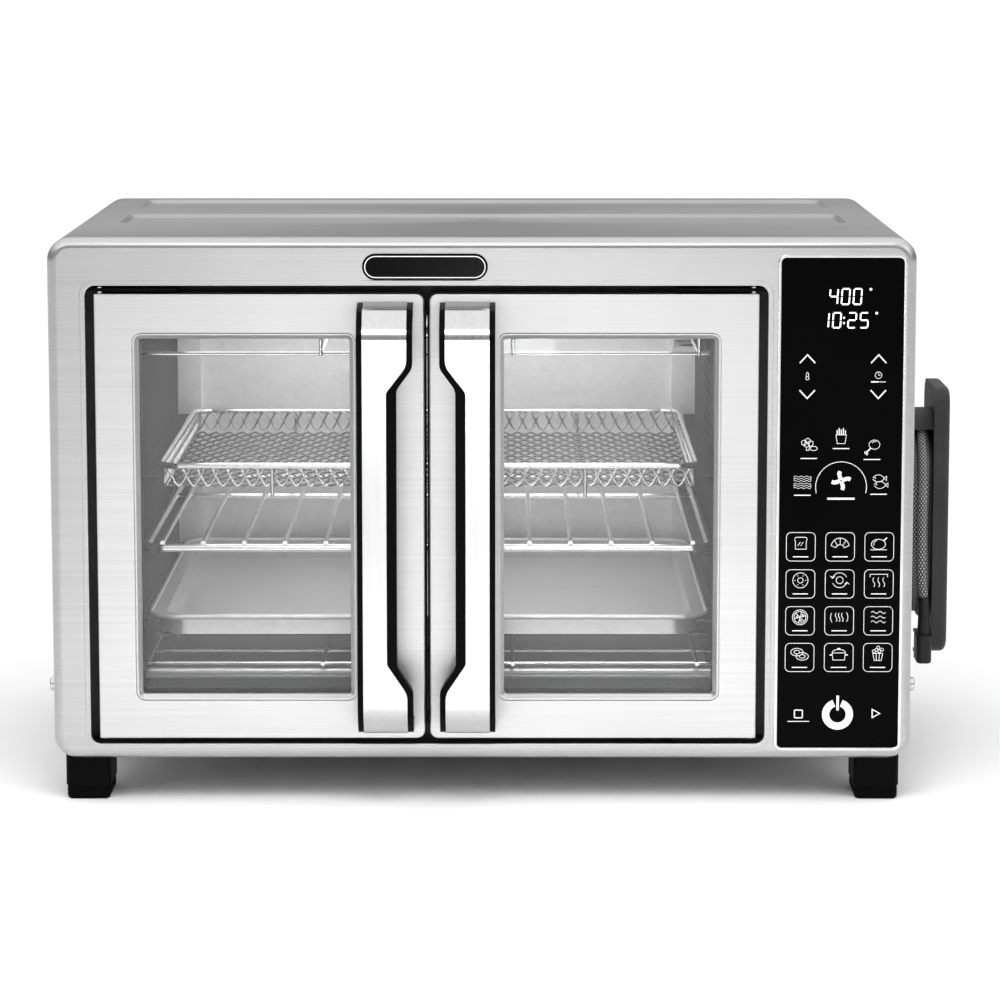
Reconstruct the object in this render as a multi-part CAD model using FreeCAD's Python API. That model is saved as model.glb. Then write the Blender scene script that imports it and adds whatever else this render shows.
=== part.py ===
import FreeCAD, Part
import math
import os

os.makedirs("parts", exist_ok=True)

# A counter-top oven with a pair of side-hinged glass doors, in millimetres.
# While it is being modelled, x = 0 is the middle of the casing, y = 0 is the
# front face with +y going back, and z = 0 is the table. The last step moves
# every piece so that the origin is at the middle of the whole footprint.

# ---- casing ----
CASE_WIDTH = 520.0
CASE_BOTTOM = 27.7
CASE_TOP = 344.5
CASE_CORNER = 14.0
FRAME_DEPTH = 16.0
WRAPPER_BACK = 345.0
REAR_BULGE_BACK = 380.0
SHEET = 1.0
FRAME_SHEET = 1.2
FRONT_ROLL = 6.0
SEAM = 0.6
TOP_BANDS = ((120.0, 198.0), (258.0, 332.0))
TOP_BAND_REACH = 228.0
TOP_BAND_DEPTH = 2.4

# ---- doors ----
DOOR_BOTTOM = 40.5
DOOR_TOP = 311.0
DOOR_MIDDLE = -33.0
DOOR_GAP = 3.0
DOOR_WIDTH = 197.5
DOOR_DEPTH = 20.0
DOOR_SHEET = 1.2
DOOR_CORNER = 5.0
OPENING_LEFT = -237.2
OPENING_RIGHT = 171.2
OPENING_BOTTOM = 37.3
OPENING_TOP = 316.0
WINDOW_WIDTH = 132.7
WINDOW_HEIGHT = 222.7
WINDOW_FROM_FREE_EDGE = 41.6
WINDOW_BOTTOM = 64.5
WINDOW_BEVEL = 3.2
GLASS_FRONT = 6.0
GLASS_THICK = 4.0
STRIP_REACH = 1.3
STRIP_THICK = 0.4
STRIP_LIP = 7.0
PIN_FROM_EDGE = 3.2
PIN_DEPTH = 6.0
PIN_RADIUS = 1.9

# ---- handles ----
HANDLE_REACH = 35.0
HANDLE_BOTTOM = 46.0
HANDLE_TOP = 306.5
HANDLE_WIDTH = 33.1
HANDLE_NARROW = 23.6
HANDLE_BORDER = 3.4
HANDLE_WAIST_BORDER = 6.0
HANDLE_THICK = 8.0
HANDLE_FROM_FREE_EDGE = 6.5

# ---- cooking chamber ----
CHAMBER_LEFT = -212.0
CHAMBER_RIGHT = 145.0
CHAMBER_BOTTOM = 54.0
CHAMBER_TOP = 296.0
CHAMBER_FRONT = 25.2
CHAMBER_BACK = 355.0
RECESS_BACK = 370.0
CHAMBER_SHEET = 0.8
RUNNER_TOPS = (105.6, 148.3, 195.0)
RUNNER_REACH = 13.0
RUNNER_THICK = 1.6
RUNNER_START = 44.0
RACK_HALF_WIDTH = 173.0

# ---- control panel ----
PANEL_LEFT = 178.9
PANEL_RIGHT = 252.1
PANEL_BOTTOM = 34.9
PANEL_TOP = 332.7
PANEL_BEZEL = 2.0

# ---- cord and its winder ----
CORD_RADIUS = 2.75
WRAP_Y = 158.5
WRAP_CORE_RADIUS = 23.0
WRAP_LOW_CENTRE = 119.8
WRAP_HIGH_CENTRE = 186.5
WRAP_LAYER = 11.6
WRAP_FLANGE_X = 285.6
WRAP_FLANGE_OUTER = 295.7
WRAP_FLANGE_BOTTOM = 69.0
WRAP_FLANGE_TOP = 240.0
WRAP_FLANGE_DEPTH = 63.0
GLAND_X = 205.0
GLAND_Z = 75.0
GLAND_LENGTH = 25.0
PLUG_X = 280.5

HALF = CASE_WIDTH / 2.0
CHAMBER_MIDDLE = (CHAMBER_LEFT + CHAMBER_RIGHT) / 2.0
SCREW_STANDS_OUT = 4.2
FOOTPRINT_LEFT = -HALF - SCREW_STANDS_OUT
FOOTPRINT_RIGHT = WRAP_FLANGE_OUTER
TO_ORIGIN = FreeCAD.Vector(
    -(FOOTPRINT_LEFT + FOOTPRINT_RIGHT) / 2.0,
    -(REAR_BULGE_BACK - HANDLE_REACH) / 2.0,
    0.0,
)
V = FreeCAD.Vector
X_AXIS = V(1, 0, 0)
Y_AXIS = V(0, 1, 0)
Z_AXIS = V(0, 0, 1)


# ---- drawing helpers ----

def box(x0, x1, y0, y1, z0, z1):
    """A box from its lowest to its highest corner."""
    return Part.makeBox(x1 - x0, y1 - y0, z1 - z0, V(x0, y0, z0))


def rod(start, end, radius):
    """A round bar between two points."""
    along = end - start
    return Part.makeCylinder(radius, along.Length, start, along)


def corner_arc(before, corner, after, radius):
    """The tangent arc that rounds one corner, and where it starts and ends."""
    back = (before - corner).normalize()
    ahead = (after - corner).normalize()
    half_angle = back.getAngle(ahead) / 2.0
    reach = radius / math.tan(half_angle)
    start = corner + back * reach
    end = corner + ahead * reach
    middle_line = (back + ahead).normalize()
    centre = corner + middle_line * (radius / math.sin(half_angle))
    middle = centre - middle_line * radius
    return start, middle, end


def rounded_loop(points, radii):
    """A closed wire through the points, each corner rounded by its radius."""
    count = len(points)
    arcs = []
    for i in range(count):
        before = points[i - 1]
        after = points[(i + 1) % count]
        if radii[i] > 0:
            arcs.append(corner_arc(before, points[i], after, radii[i]))
        else:
            arcs.append((points[i], None, points[i]))
    edges = []
    for i in range(count):
        start, middle, end = arcs[i]
        if middle is not None:
            edges.append(Part.Arc(start, middle, end).toShape())
        next_start = arcs[(i + 1) % count][0]
        if (next_start - end).Length > 1e-6:
            edges.append(Part.LineSegment(end, next_start).toShape())
    return Part.Wire(edges)


def rounded_plate(x0, x1, z0, z1, y0, y1, radius):
    """An upright plate, seen from the front as a rounded rectangle."""
    corners = [V(x0, y0, z0), V(x1, y0, z0), V(x1, y0, z1), V(x0, y0, z1)]
    face = Part.Face(rounded_loop(corners, [radius] * 4))
    return face.extrude(V(0, y1 - y0, 0))


def ring_plate(outer, inner, y0, y1):
    """An upright ring; outer and inner are (x0, x1, z0, z1, radius)."""
    ox0, ox1, oz0, oz1, outer_radius = outer
    ix0, ix1, iz0, iz1, inner_radius = inner
    body = rounded_plate(ox0, ox1, oz0, oz1, y0, y1, outer_radius)
    hole = rounded_plate(ix0, ix1, iz0, iz1, y0 - 1, y1 + 1, inner_radius)
    return body.cut(hole)


def grown(rectangle, by):
    """A rounded rectangle (x0, x1, z0, z1, radius) grown on every side."""
    x0, x1, z0, z1, radius = rectangle
    return (x0 - by, x1 + by, z0 - by, z1 + by, max(radius + by, 0.3))


def wire_loop(x0, x1, y0, y1, z, corner, radius):
    """A level rectangle of round wire with bent corners."""
    corners = [V(x0, y0, z), V(x1, y0, z), V(x1, y1, z), V(x0, y1, z)]
    path = rounded_loop(corners, [corner] * 4)
    middle = V((x0 + x1) / 2.0, y0, z)
    profile = Part.Wire(Part.makeCircle(radius, middle, X_AXIS))
    path = start_loop_at(corners, corner, middle)
    pipe = path.makePipeShell([profile], True, False)
    return Part.makeSolid(pipe) if pipe.ShapeType == "Shell" else pipe


def start_loop_at(corners, corner, middle):
    """The same rounded rectangle, begun at the middle of its first side."""
    count = len(corners)
    edges = []
    last = middle
    for i in range(1, count + 1):
        point = corners[i % count]
        before = corners[i - 1]
        after = corners[(i + 1) % count]
        start, bend, end = corner_arc(before, point, after, corner)
        edges.append(Part.LineSegment(last, start).toShape())
        edges.append(Part.Arc(start, bend, end).toShape())
        last = end
    edges.append(Part.LineSegment(last, middle).toShape())
    return Part.Wire(edges)


def mirrored_in_doors(shape):
    """The same piece on the right-hand door."""
    return shape.mirror(V(DOOR_MIDDLE, 0, 0), X_AXIS)


def save(name, shape):
    """Move a finished piece to the origin and write it."""
    placed = shape.copy()
    placed.translate(TO_ORIGIN)
    solids = placed.Solids
    result = solids[0] if len(solids) == 1 else Part.makeCompound(solids)
    result.exportStep("parts/" + name + ".step")
    print(name, len(solids), round(result.Volume), result.isValid())


# ---- casing ----

CASE = (-HALF, HALF, CASE_BOTTOM, CASE_TOP, CASE_CORNER)
OPENING = (OPENING_LEFT, OPENING_RIGHT, OPENING_BOTTOM, OPENING_TOP, 6.0)
PANEL = (PANEL_LEFT, PANEL_RIGHT, PANEL_BOTTOM, PANEL_TOP, 3.0)
BEZEL = grown(PANEL, PANEL_BEZEL)
BOTTOM_FLANGE = 230.0
SCREW_PLACES = ((22.0, 70.0), (330.0, 60.0), (330.0, 300.0))
BULGE = (-226.0, 160.0, 40.0, 309.0, 12.0)


def front_edges(shape, y):
    """The edges of a shape that lie flat at one depth."""
    found = []
    for edge in shape.Edges:
        low = edge.BoundBox.YMin
        high = edge.BoundBox.YMax
        if abs(low - y) < 1e-4 and abs(high - y) < 1e-4:
            found.append(edge)
    return found


def rolled_plate(rectangle, y0, y1, roll):
    """A rounded plate whose front outer edge is rolled over."""
    x0, x1, z0, z1, radius = rectangle
    plate = rounded_plate(x0, x1, z0, z1, y0, y1, radius)
    return plate.makeFillet(roll, front_edges(plate, y0))


def make_front_frame():
    outer = rolled_plate(CASE, 0, FRAME_DEPTH, FRONT_ROLL)
    inner_outline = grown(CASE, -FRAME_SHEET)
    inner = rolled_plate(
        inner_outline, FRAME_SHEET, FRAME_DEPTH + 1, FRONT_ROLL - FRAME_SHEET
    )
    frame = outer.cut(inner)
    x0, x1, z0, z1, radius = OPENING
    frame = frame.cut(rounded_plate(x0, x1, z0, z1, -1, 5, radius))
    hem = ring_plate(grown(OPENING, FRAME_SHEET), OPENING, 0.4, 3.0)
    lip = ring_plate(grown(OPENING, 3.2), OPENING, -0.5, 0.4)
    lip = lip.makeFillet(0.35, front_edges(lip, -0.5))
    x0, x1, z0, z1, radius = BEZEL
    window = rounded_plate(x0, x1, z0, z1, -1, 5, radius)
    return frame.fuse([hem, lip]).cut(window).removeSplitter()


def top_bands(grow, low):
    """The two shallow, slope-sided bands pressed into the top, to be cut."""
    bands = []
    for y0, y1 in TOP_BANDS:
        x = TOP_BAND_REACH + grow
        front = y0 - grow
        back = y1 + grow
        corners = [V(-x, front, low), V(x, front, low), V(x, back, low), V(-x, back, low)]
        block = Part.Face(rounded_loop(corners, [9.0] * 4)).extrude(V(0, 0, 12))
        floor_edges = [e for e in block.Edges if e.BoundBox.ZMax < low + 1e-4]
        bands.append(block.makeChamfer(TOP_BAND_DEPTH, floor_edges))
    return bands


def make_wrapper():
    x0, x1, z0, z1, radius = CASE
    outer = rounded_plate(x0, x1, z0, z1, FRAME_DEPTH, WRAPPER_BACK, radius)
    outer = outer.cut(top_bands(0, CASE_TOP - TOP_BAND_DEPTH))
    seam = ring_plate(
        grown(CASE, 1.0), grown(CASE, -SEAM), FRAME_DEPTH - 1, FRAME_DEPTH + 1.2
    )
    x0, x1, z0, z1, radius = grown(CASE, -SHEET)
    inner = rounded_plate(
        x0, x1, z0, z1, FRAME_DEPTH - 1, WRAPPER_BACK + 1, radius
    )
    inner = inner.cut(top_bands(SHEET, CASE_TOP - TOP_BAND_DEPTH - SHEET))
    shell = outer.cut([inner, seam])
    slot = box(
        -BOTTOM_FLANGE, BOTTOM_FLANGE, 0, 400, CASE_BOTTOM - 1, CASE_BOTTOM + 2
    )
    holes = [rod(V(-270, y, z), V(270, y, z), 1.5) for y, z in SCREW_PLACES]
    for i in range(14):
        z = 232.0 + 6.0 * i
        holes.append(box(250, 270, 225, 285, z, z + 2.2))
        holes.append(box(-270, -250, 225, 285, z, z + 2.2))
    return shell.cut([slot] + holes)


def make_bottom_plate():
    plate = box(
        -BOTTOM_FLANGE + 0.3, BOTTOM_FLANGE - 0.3,
        FRAME_DEPTH + 0.3, WRAPPER_BACK - 0.3,
        CASE_BOTTOM, CASE_BOTTOM + SHEET,
    )
    slots = []
    for row in range(4):
        for i in range(12):
            x = -150 + 22.0 * i
            y = 90 + 55.0 * row
            slots.append(box(x, x + 14, y, y + 3, CASE_BOTTOM - 1, CASE_BOTTOM + 3))
    return plate.cut(slots)


def make_rear_cover():
    x0, x1, z0, z1, radius = CASE
    back = WRAPPER_BACK + SHEET
    plate = rounded_plate(x0, x1, z0, z1, WRAPPER_BACK, back, radius)
    x0, x1, z0, z1, radius = BULGE
    bulge = rounded_plate(x0, x1, z0, z1, WRAPPER_BACK, REAR_BULGE_BACK, radius)
    bulge = bulge.makeFillet(9.0, front_edges(bulge, REAR_BULGE_BACK))
    x0, x1, z0, z1, radius = grown(BULGE, -SHEET)
    hollow = rounded_plate(
        x0, x1, z0, z1, WRAPPER_BACK - 1, REAR_BULGE_BACK - SHEET, radius
    )
    hollow = hollow.makeFillet(8.0, front_edges(hollow, REAR_BULGE_BACK - SHEET))
    cover = plate.fuse(bulge).cut(hollow)
    slots = []
    for i in range(18):
        z = 120.0 + 9.0 * i
        slots.append(box(178, 240, 340, 350, z, z + 3.5))
    for i in range(13):
        x = -186 + 24.0 * i
        slots.append(box(x, x + 15, 374, 390, 262, 266))
        slots.append(box(x, x + 15, 374, 390, 272, 276))
    gland_hole = rod(V(GLAND_X, 340, GLAND_Z), V(GLAND_X, 350, GLAND_Z), 6.0)
    return cover.cut(slots + [gland_hole])


def make_screws():
    shapes = []
    for side in (-1, 1):
        for y, z in SCREW_PLACES:
            face = V(side * HALF, y, z)
            out = V(side, 0, 0)
            head = Part.makeCylinder(4.2, SCREW_STANDS_OUT, face, out)
            rim = [e for e in head.Edges if abs(e.BoundBox.XMin - e.BoundBox.XMax) < 1e-4
                   and abs(abs(e.BoundBox.XMin) - HALF - SCREW_STANDS_OUT) < 1e-4]
            head = head.makeFillet(1.4, rim)
            socket = Part.makeBox(
                3.0, 1.1, 5.2, V(face.x + side * 3.0 - (3.0 if side < 0 else 0), y - 0.55, z - 2.6)
            )
            shank = Part.makeCylinder(1.5, 8.0, face, out * -1)
            shapes.append(head.cut(socket).fuse(shank))
    return Part.makeCompound(shapes)


# ---- feet ----
FOOT_WIDTH = 27.5
FOOT_DEPTH = 42.0
FOOT_OUTER = 254.5
PAD_HEIGHT = 7.5
FOOT_FRONTS = (12.0, 286.0)


def foot_block(x0, y0, z0, z1, inset, radius):
    """One level slice of a foot with rounded corners."""
    x1 = x0 + FOOT_WIDTH
    y1 = y0 + FOOT_DEPTH
    corners = [
        V(x0 + inset, y0 + inset, z0), V(x1 - inset, y0 + inset, z0),
        V(x1 - inset, y1 - inset, z0), V(x0 + inset, y1 - inset, z0),
    ]
    face = Part.Face(rounded_loop(corners, [radius] * 4))
    return face.extrude(V(0, 0, z1 - z0))


def make_foot(x0, y0):
    foot = foot_block(x0, y0, PAD_HEIGHT, CASE_BOTTOM, 0.0, 4.0)
    neck = foot_block(x0, y0, PAD_HEIGHT, PAD_HEIGHT + 1.2, 0.0, 4.0)
    groove = neck.cut(foot_block(x0, y0, PAD_HEIGHT, PAD_HEIGHT + 1.2, 0.8, 3.4))
    return foot.cut(groove)


def make_pad(x0, y0):
    pad = foot_block(x0, y0, 0.0, PAD_HEIGHT, 0.6, 3.6)
    low = [e for e in pad.Edges if e.BoundBox.ZMax < 1e-4]
    return pad.makeFillet(2.4, low)


def make_feet():
    pads = []
    for side, x0 in (("left", -FOOT_OUTER), ("right", FOOT_OUTER - FOOT_WIDTH)):
        for place, y0 in zip(("front", "rear"), FOOT_FRONTS):
            save("foot_" + place + "_" + side, make_foot(x0, y0))
            pads.append(make_pad(x0, y0))
    save("foot_pads", Part.makeCompound(pads))


# ---- doors: the left one is drawn, the right one mirrors it ----
DOOR_RIGHT_EDGE = DOOR_MIDDLE - DOOR_GAP / 2.0
DOOR_LEFT_EDGE = DOOR_RIGHT_EDGE - DOOR_WIDTH
WINDOW_RIGHT = DOOR_RIGHT_EDGE - WINDOW_FROM_FREE_EDGE
WINDOW = (
    WINDOW_RIGHT - WINDOW_WIDTH, WINDOW_RIGHT,
    WINDOW_BOTTOM, WINDOW_BOTTOM + WINDOW_HEIGHT, 5.0,
)
PIN_X = DOOR_LEFT_EDGE + PIN_FROM_EDGE


def door_outline(y0, y1, inset):
    """The door's plan: free-side corners rounded, hinge side nearly sharp."""
    x0 = DOOR_LEFT_EDGE + inset
    x1 = DOOR_RIGHT_EDGE - inset
    z0 = DOOR_BOTTOM + inset
    z1 = DOOR_TOP - inset
    corners = [V(x0, y0, z0), V(x1, y0, z0), V(x1, y0, z1), V(x0, y0, z1)]
    free = DOOR_CORNER - inset
    face = Part.Face(rounded_loop(corners, [0.8, free, free, 0.8]))
    return face.extrude(V(0, y1 - y0, 0))


def make_door_panel():
    shell = door_outline(0, DOOR_DEPTH, 0)
    shell = shell.makeFillet(0.9, front_edges(shell, 0))
    shell = shell.cut(door_outline(DOOR_SHEET, DOOR_DEPTH + 1, DOOR_SHEET))
    x0, x1, z0, z1, radius = grown(WINDOW, 0.7)
    shell = shell.cut(rounded_plate(x0, x1, z0, z1, -1, 4, radius))
    visible = grown(WINDOW, -WINDOW_BEVEL)
    rim = ring_plate(WINDOW, visible, -0.4, GLASS_FRONT)
    inner_edges = []
    for edge in front_edges(rim, -0.4):
        box_of = edge.BoundBox
        if box_of.XMin > WINDOW[0] + 1 and box_of.XMax < WINDOW[1] - 1:
            if box_of.ZMin > WINDOW[2] + 1 and box_of.ZMax < WINDOW[3] - 1:
                inner_edges.append(edge)
    rim = rim.makeChamfer(2.4, inner_edges)
    step = ring_plate(grown(WINDOW, 3.5), grown(WINDOW, 0.7), DOOR_SHEET, 3.6)
    flange = ring_plate(grown(WINDOW, 3.5), grown(WINDOW, -1.0), 2.6, 3.6)
    pins = [
        rod(V(PIN_X, PIN_DEPTH, 30), V(PIN_X, PIN_DEPTH, 60), PIN_RADIUS),
        rod(V(PIN_X, PIN_DEPTH, 291), V(PIN_X, PIN_DEPTH, 320), PIN_RADIUS),
    ]
    return shell.fuse([rim, step, flange]).cut(pins).removeSplitter()


def make_door_glass():
    x0, x1, z0, z1, radius = grown(WINDOW, 5.0)
    back = GLASS_FRONT + GLASS_THICK
    return rounded_plate(x0, x1, z0, z1, GLASS_FRONT, back, radius)


def make_door_inner_frame():
    """The black frame behind the glass, with the strip that closes the gap."""
    back = DOOR_DEPTH + 1.6
    plate = door_outline(DOOR_DEPTH, back, 0.6)
    visible = grown(WINDOW, -WINDOW_BEVEL)
    x0, x1, z0, z1, radius = visible
    plate = plate.cut(rounded_plate(x0, x1, z0, z1, 0, 40, radius))
    well = ring_plate(
        grown(visible, 1.0), visible, GLASS_FRONT + GLASS_THICK + 0.1, DOOR_DEPTH
    )
    clamp = ring_plate(
        grown(visible, 6.0), visible,
        GLASS_FRONT + GLASS_THICK + 0.1, GLASS_FRONT + GLASS_THICK + 1.1,
    )
    low = DOOR_BOTTOM + 8.0
    high = DOOR_TOP - 8.0
    edge = DOOR_RIGHT_EDGE
    strip = [
        box(edge - 5.0, edge + STRIP_THICK, DOOR_DEPTH, back, low, high),
        box(edge, edge + STRIP_THICK, STRIP_LIP, back, low, high),
        box(edge, edge + STRIP_REACH, STRIP_LIP, STRIP_LIP + 1.4, low, high),
    ]
    return plate.fuse([well, clamp] + strip).removeSplitter()


def make_hinge_pins():
    lower = rod(V(PIN_X, PIN_DEPTH, 36.6), V(PIN_X, PIN_DEPTH, 60), PIN_RADIUS)
    upper = rod(V(PIN_X, PIN_DEPTH, 291), V(PIN_X, PIN_DEPTH, 314.9), PIN_RADIUS)
    return Part.makeCompound([lower, upper])


def make_hinge_brackets():
    running = PIN_RADIUS + 0.05
    x0 = OPENING_LEFT + 0.1
    x1 = x0 + 55
    shapes = []
    low_tab = box(x0, x1, 3.2, 15.5, 37.5, 39.5)
    low_leg = box(x0, x1, 14.0, 15.5, CASE_BOTTOM + FRAME_SHEET, 39.5)
    high_tab = box(x0, x1, 3.2, 15.5, 312.2, 314.2)
    high_leg = box(x0, x1, 14.0, 15.5, 312.2, CASE_TOP - FRAME_SHEET)
    hole = rod(V(PIN_X, PIN_DEPTH, 0), V(PIN_X, PIN_DEPTH, 400), running)
    for tab, leg in ((low_tab, low_leg), (high_tab, high_leg)):
        bracket = tab.fuse(leg).cut(hole).removeSplitter()
        shapes.append(bracket)
        shapes.append(mirrored_in_doors(bracket))
    return Part.makeCompound(shapes)


# ---- handles ----
HANDLE_RIGHT = DOOR_RIGHT_EDGE - HANDLE_FROM_FREE_EDGE
HANDLE_LEFT = HANDLE_RIGHT - HANDLE_WIDTH
TAPER_UP = (257.0, 270.0)
TAPER_DOWN = (91.0, 75.6)


def handle_front(inset, waist_inset):
    """The strap seen from the front: wide ends and a cut-away middle."""
    left = HANDLE_LEFT + inset
    right = HANDLE_RIGHT - inset
    waist = HANDLE_LEFT + HANDLE_NARROW - waist_inset
    slip = (waist_inset - inset) / 2.0
    corners = [
        V(left, -60, HANDLE_BOTTOM - 1), V(right, -60, HANDLE_BOTTOM - 1),
        V(right, -60, TAPER_DOWN[1] - slip), V(waist, -60, TAPER_DOWN[0] + slip),
        V(waist, -60, TAPER_UP[0] - slip), V(right, -60, TAPER_UP[1] + slip),
        V(right, -60, HANDLE_TOP + 1), V(left, -60, HANDLE_TOP + 1),
    ]
    bend = 8.0
    radii = [0, 0, bend + inset, bend - inset, bend - inset, bend + inset, 0, 0]
    return Part.Face(rounded_loop(corners, radii)).extrude(V(0, 80, 0))


def handle_side(reach, thick, end_inset):
    """The strap seen from the side: a long flat whose ends turn to the door."""
    low = HANDLE_BOTTOM + end_inset
    high = HANDLE_TOP - end_inset
    slope_end = HANDLE_REACH - reach
    outer = [
        V(-90, 0, low), V(-90, -24 + slope_end, low + 2.5),
        V(-90, -reach, low + 15), V(-90, -reach, high - 15),
        V(-90, -24 + slope_end, high - 2.5), V(-90, 0, high),
    ]
    inner = [
        V(-90, 0, high - thick), V(-90, -21 + slope_end, high - thick - 2.5),
        V(-90, thick - reach, high - thick - 12), V(-90, thick - reach, low + thick + 12),
        V(-90, -21 + slope_end, low + thick + 2.5), V(-90, 0, low + thick),
    ]
    radii = [0, 9, 12, 12, 9, 0, 0, 5, 7, 7, 5, 0]
    return Part.Face(rounded_loop(outer + inner, radii)).extrude(V(80, 0, 0))


def make_handle_cover():
    return handle_side(HANDLE_REACH, 1.6, 0.0).common(
        handle_front(HANDLE_BORDER, HANDLE_WAIST_BORDER)
    )


def make_handle_core(cover):
    strap = handle_side(HANDLE_REACH - 0.5, HANDLE_THICK, 0.5)
    return strap.common(handle_front(0.0, 0.0)).cut(cover)


# ---- cooking chamber ----
HEATER_RADIUS = 4.0
HEATERS = (
    ("lower_front_heater", 60.0, 70.0),
    ("lower_rear_heater", 270.0, 70.0),
    ("upper_front_heater", 70.0, 284.0),
    ("upper_rear_heater", 270.0, 284.0),
)
BUSH_RADIUS = 7.0
FAN_Y = 190.0
FAN_Z = 225.0
FAN_RADIUS = 46.0
PROBE_Y = 300.0
PROBE_Z = 250.0


def runner_group(wall, reach):
    """Pressed ledges along one side wall; reach is signed."""
    shapes = []
    for top in RUNNER_TOPS:
        x0, x1 = sorted((wall, wall + reach))
        shapes.append(box(x0, x1, RUNNER_START, CHAMBER_BACK - 0.5, top - RUNNER_THICK, top))
    return shapes


def bush_holes():
    shapes = []
    for name, y, z in HEATERS:
        shapes.append(rod(V(-300, y, z), V(300, y, z), BUSH_RADIUS))
    return shapes


def fan_holes():
    """Round air holes through the right wall, clear of the runners."""
    shapes = []
    for row in range(-5, 6):
        for column in range(-5, 6):
            y = FAN_Y + 8.0 * column + 4.0 * (row % 2)
            z = FAN_Z + 7.0 * row
            inside = math.hypot(y - FAN_Y, z - FAN_Z) < FAN_RADIUS - 6
            clear = all(not top - RUNNER_THICK - 4 < z < top + 4 for top in RUNNER_TOPS)
            if inside and clear:
                shapes.append(rod(V(140, y, z), V(150, y, z), 2.4))
    return shapes


def make_side_wall(left):
    if left:
        x0 = CHAMBER_LEFT - CHAMBER_SHEET
        x1 = CHAMBER_LEFT
        ledges = runner_group(x1, RUNNER_REACH)
    else:
        x0 = CHAMBER_RIGHT
        x1 = CHAMBER_RIGHT + CHAMBER_SHEET
        ledges = runner_group(x0, -RUNNER_REACH)
    wall = box(
        x0, x1, CHAMBER_FRONT, CHAMBER_BACK + CHAMBER_SHEET,
        CHAMBER_BOTTOM - CHAMBER_SHEET, CHAMBER_TOP + CHAMBER_SHEET,
    )
    cuts = bush_holes()
    if not left:
        probe = rod(V(140, PROBE_Y, PROBE_Z), V(150, PROBE_Y, PROBE_Z), 2.5)
        cuts = cuts + fan_holes() + [probe]
    return wall.fuse(ledges).cut(cuts)


def make_chamber_roof():
    return box(
        CHAMBER_LEFT, CHAMBER_RIGHT, CHAMBER_FRONT, CHAMBER_BACK + CHAMBER_SHEET,
        CHAMBER_TOP, CHAMBER_TOP + CHAMBER_SHEET,
    )


def make_chamber_floor():
    return box(
        CHAMBER_LEFT, CHAMBER_RIGHT, CHAMBER_FRONT, CHAMBER_BACK + CHAMBER_SHEET,
        CHAMBER_BOTTOM - CHAMBER_SHEET, CHAMBER_BOTTOM,
    )


def make_chamber_back():
    """A border with a shallow pocket pressed into it, away from the food."""
    border = box(
        CHAMBER_LEFT, CHAMBER_RIGHT, CHAMBER_BACK, CHAMBER_BACK + CHAMBER_SHEET,
        CHAMBER_BOTTOM, CHAMBER_TOP,
    )
    outer = (CHAMBER_LEFT + 15, CHAMBER_RIGHT - 15, 66.0, 284.0, 14.0)
    inner = grown(outer, -CHAMBER_SHEET)
    x0, x1, z0, z1, radius = inner
    border = border.cut(
        rounded_plate(x0, x1, z0, z1, CHAMBER_BACK - 1, RECESS_BACK, radius)
    )
    side = ring_plate(outer, inner, CHAMBER_BACK, RECESS_BACK)
    x0, x1, z0, z1, radius = outer
    end = rounded_plate(
        x0, x1, z0, z1, RECESS_BACK - CHAMBER_SHEET, RECESS_BACK, radius
    )
    return border.fuse([side, end]).removeSplitter()


def make_seat_frame():
    outer = (-HALF + 2.0, 173.0, CASE_BOTTOM + 3.0, CASE_TOP - 6.0, 10.0)
    inner = (CHAMBER_LEFT, CHAMBER_RIGHT, CHAMBER_BOTTOM, CHAMBER_TOP, 1.0)
    return ring_plate(outer, inner, CHAMBER_FRONT - 1.2, CHAMBER_FRONT)


def make_catches():
    shapes = []
    for x in (DOOR_MIDDLE - 22, DOOR_MIDDLE + 10):
        shapes.append(box(x, x + 12, CHAMBER_FRONT - 2.9, CHAMBER_FRONT - 1.2, 299, 306))
    return Part.makeCompound(shapes)


def make_heater(y, z):
    sheath = rod(V(-222, y, z), V(155, y, z), HEATER_RADIUS)
    terminals = rod(V(-236, y, z), V(169, y, z), 1.6)
    return sheath.fuse(terminals).removeSplitter()


def make_bushes():
    shapes = []
    for name, y, z in HEATERS:
        for wall, out in ((CHAMBER_LEFT, -1), (CHAMBER_RIGHT, 1)):
            inside = V(wall - out * 2.0, y, z)
            outside = V(wall + out * 8.0, y, z)
            face = V(wall + out * CHAMBER_SHEET, y, z)
            shoulder = V(wall + out * (CHAMBER_SHEET + 3.0), y, z)
            bush = rod(inside, outside, BUSH_RADIUS - 0.05)
            bush = bush.fuse(rod(face, shoulder, BUSH_RADIUS + 3.0))
            bore = rod(V(-300, y, z), V(300, y, z), HEATER_RADIUS + 0.05)
            shapes.append(bush.cut(bore))
    return Part.makeCompound(shapes)


def make_guard(z, depths, crossings, wire, drop_to):
    """Long wires from wall to wall, tied by wires that run front to back."""
    first = depths[0]
    last = depths[-1]
    shape = None
    for y in depths:
        long_wire = rod(V(CHAMBER_LEFT, y, z), V(CHAMBER_RIGHT, y, z), wire)
        shape = long_wire if shape is None else shape.fuse(long_wire)
    for x in crossings:
        shape = shape.fuse(rod(V(x, first - 4, z), V(x, last + 4, z), wire))
        if drop_to is not None:
            for y in (first - 4, last + 4):
                shape = shape.fuse(rod(V(x, y, z), V(x, y, drop_to), wire))
                shape = shape.fuse(Part.makeSphere(wire, V(x, y, z)))
    return shape


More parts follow.
